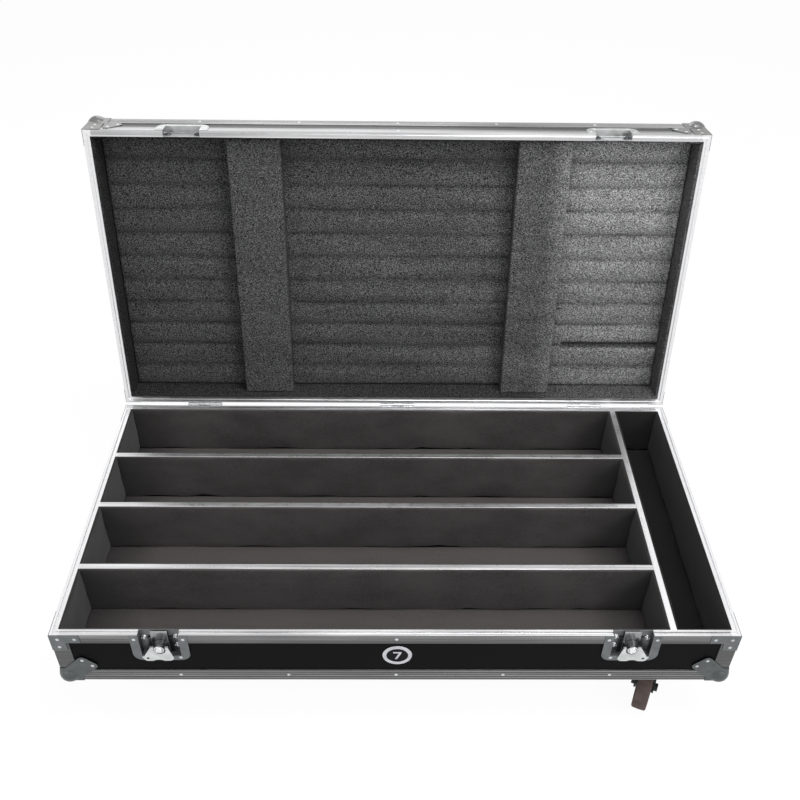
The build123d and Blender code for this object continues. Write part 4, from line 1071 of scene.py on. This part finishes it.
class CASE_OT_number_plate(bpy.types.Operator):
    """Makes the round number plate on the front panel"""

    bl_idname = "case.number_plate"
    bl_label = "Number plate"

    def execute(self, context):
        centre = (1.5 * MM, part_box("base_front_panel")[0][1], UNDERSIDE_Z + 74.5 * MM)
        ring_line = [(19.5, 0.0), (19.5, -1.1), (20.0, -1.5), (25.8, -1.5), (26.8, -0.6), (26.8, 0.0)]
        face_line = [(0.0, -0.8), (19.4, -0.8), (19.4, 0.0), (0.0, 0.0)]
        ring_line = rounded([(across * MM, along * MM) for across, along in ring_line], 0.3 * MM, 4)
        ring_line.append(ring_line[0])
        face_line = [(across * MM, along * MM) for across, along in face_line]
        for kind, line, paint in (("ring", ring_line, "plate_rim"), ("face", face_line, "plate_face")):
            surface = turned(line, centre, (0, 1, 0), 96)
            hardware(f"number_plate_{kind}", surface, paint, "base", 40.0)
        hardware("number_plate_numeral", self.numeral(centre), "plate_rim", "base", 30.0)
        return {"FINISHED"}

    def numeral(self, centre):
        """A plain raised 7: an outline with square ends, drawn out 0.6 mm along Y."""
        half, rise, stroke = 7.5 * MM, 10.5 * MM, 3.4 * MM
        foot = -half * 0.05
        near, far = centre[1] - 0.7 * MM, centre[1] - 1.3 * MM
        outline = [
            (-half, rise), (half, rise), (half, rise - stroke), (foot, -rise),
            (foot - stroke * 1.15, -rise), (half - stroke * 1.35, rise - stroke), (-half, rise - stroke)]
        count = len(outline)
        vertices = [(centre[0] + x, y, centre[2] + z) for y in (far, near) for x, z in outline]
        faces = [list(range(count)), list(range(2 * count - 1, count - 1, -1))]
        faces += [[i, (i + 1) % count, (i + 1) % count + count, i + count] for i in range(count)]
        return vertices, faces


def shown_white(tree):
    """1 for rays from the camera and for glossy and transmitted ones, else 0."""
    path = tree.nodes.new("ShaderNodeLightPath")
    seen = path.outputs["Is Camera Ray"]
    for ray in ("Is Glossy Ray", "Is Transmission Ray"):
        either = tree.nodes.new("ShaderNodeMath")
        either.operation = "MAXIMUM"
        tree.links.new(seen, either.inputs[0])
        tree.links.new(path.outputs[ray], either.inputs[1])
        seen = either.outputs[0]
    return seen


class CASE_OT_stage(bpy.types.Operator):
    """Sets the pale floor, the soft studio light and the camera"""

    bl_idname = "case.stage"
    bl_label = "Stage"

    def execute(self, context):
        self.floor()
        self.world()
        self.lamp("top", (0.5, -0.35, 2.9), (0.0, 0.0, 0.3), 1.3, 40.0)
        self.lamp("key", (2.0, -1.6, 2.0), (0.0, 0.1, 0.4), 1.3, 22.0)
        self.lamp("fill", (-2.2, -1.8, 1.8), (0.0, 0.1, 0.3), 2.2, 8.0)
        self.lamp("back", (-0.4, 2.4, 2.0), (0.0, 0.0, 0.4), 1.6, 12.0)
        self.camera()
        context.scene.view_settings.view_transform = "Standard"
        return {"FINISHED"}

    def floor(self):
        """A pale floor that takes the case's shadow and is white to the camera and in reflections."""
        half = 12.0
        corners = [(-half, -half, 0.0), (half, -half, 0.0), (half, half, 0.0), (-half, half, 0.0)]
        mesh = bpy.data.meshes.new("studio_floor")
        mesh.from_pydata(corners, [], [(0, 1, 2, 3)])
        floor = placed("studio_floor", mesh)
        paint = Paint("studio_floor")
        paint.finish(Base_Color=(0.86, 0.86, 0.86, 1.0), Roughness=0.9, Specular_IOR_Level=0.1)
        glow = paint.node("ShaderNodeEmission", {}, {"Color": (1.0, 1.0, 1.0, 1.0), "Strength": 1.04})
        share = Field(paint, shown_white(paint.tree)) * 0.92
        lit = paint.shader.outputs[0]
        mix = paint.node("ShaderNodeMixShader", {}, {0: share, 1: lit, 2: glow.outputs[0]})
        paint.tree.links.new(mix.outputs[0], paint.tree.nodes["Material Output"].inputs["Surface"])
        mesh.materials.append(paint.material)

    def world(self):
        """A dim cool sky that lights the case, and plain white where it is seen or mirrored."""
        world = bpy.data.worlds.new("studio_world")
        world.use_nodes = True
        tree = world.node_tree
        sky = tree.nodes["Background"]
        white = tree.nodes.new("ShaderNodeBackground")
        for background, colour, strength in (
                (sky, (0.96, 0.98, 1.0, 1.0), 0.3), (white, (1.0, 1.0, 1.0, 1.0), 1.0)):
            background.inputs["Color"].default_value = colour
            background.inputs["Strength"].default_value = strength
        mix = tree.nodes.new("ShaderNodeMixShader")
        tree.links.new(shown_white(tree), mix.inputs[0])
        tree.links.new(sky.outputs[0], mix.inputs[1])
        tree.links.new(white.outputs[0], mix.inputs[2])
        tree.links.new(mix.outputs[0], tree.nodes["World Output"].inputs["Surface"])
        bpy.context.scene.world = world

    def lamp(self, name, place, target, size, energy):
        """A square soft lamp at place that points at target."""
        light = bpy.data.lights.new(name, "AREA")
        light.shape = "SQUARE"
        light.size = size
        light.energy = energy
        lamp = placed(name, light)
        lamp.location = place
        lamp.rotation_euler = (Vector(target) - Vector(place)).to_track_quat("-Z", "Y").to_euler()

    def camera(self):
        """The camera that was solved from the photograph: its place is measured from the case's front
        left corner at the underside, and it looks right by yaw, down by pitch and is rolled a little."""
        offset = Vector((0.58984, -0.99122, 1.51438))
        yaw, pitch, roll = math.radians(1.058), math.radians(38.983), math.radians(0.958)
        focal_pixels = 931.5
        centre_row = 380.4
        image_side = 800.0
        reach = math.cos(pitch)
        forward = Vector((math.sin(yaw) * reach, math.cos(yaw) * reach, -math.sin(pitch)))
        level = Vector((math.cos(yaw), -math.sin(yaw), 0.0))
        upward = level.cross(forward)
        right = level * math.cos(roll) + upward * math.sin(roll)
        up = upward * math.cos(roll) - level * math.sin(roll)
        lens = bpy.data.cameras.new("camera")
        lens.sensor_width = 36.0
        lens.lens = focal_pixels / image_side * lens.sensor_width
        lens.shift_y = (centre_row - image_side / 2) / image_side
        lens.clip_start = 0.01
        camera = placed("camera", lens)
        turn = Matrix((right, up, -forward)).transposed().to_4x4()
        corner = Vector((-HALF_LENGTH, FRONT_Y, UNDERSIDE_Z))
        camera.matrix_world = Matrix.Translation(corner + offset) @ turn
        bpy.context.scene.camera = camera


class CASE_PT_panel(bpy.types.Panel):
    """Lists the operators and the settings"""

    bl_idname = "CASE_PT_panel"
    bl_label = "Flight Case"
    bl_space_type = "VIEW_3D"
    bl_region_type = "UI"
    bl_category = "Flight Case"

    def draw(self, context):
        """Shows each setting, and a button for each operator."""
        layout = self.layout
        for name in CaseSettings.__annotations__:
            layout.prop(context.scene.case_settings, name)
        for operator in OPERATORS:
            layout.operator(operator.bl_idname)


OPERATORS = (
    CASE_OT_stage,
    CASE_OT_panels,
    CASE_OT_edging,
    CASE_OT_corners,
    CASE_OT_bay_linings,
    CASE_OT_lid_foam,
    CASE_OT_latches,
    CASE_OT_castors,
    CASE_OT_handles,
    CASE_OT_number_plate,
)


def register():
    """Adds the classes and the scene's settings."""
    for item in (CaseSettings, *OPERATORS, CASE_PT_panel):
        bpy.utils.register_class(item)
    bpy.types.Scene.case_settings = bpy.props.PointerProperty(type=CaseSettings)


def unregister():
    """Takes them away again."""
    del bpy.types.Scene.case_settings
    for item in (CASE_PT_panel, *OPERATORS[::-1], CaseSettings):
        bpy.utils.unregister_class(item)


def main():
    register()
    for operator in OPERATORS:
        group, name = operator.bl_idname.split(".")
        getattr(getattr(bpy.ops, group), name)()


if __name__ == "__main__":
    main()
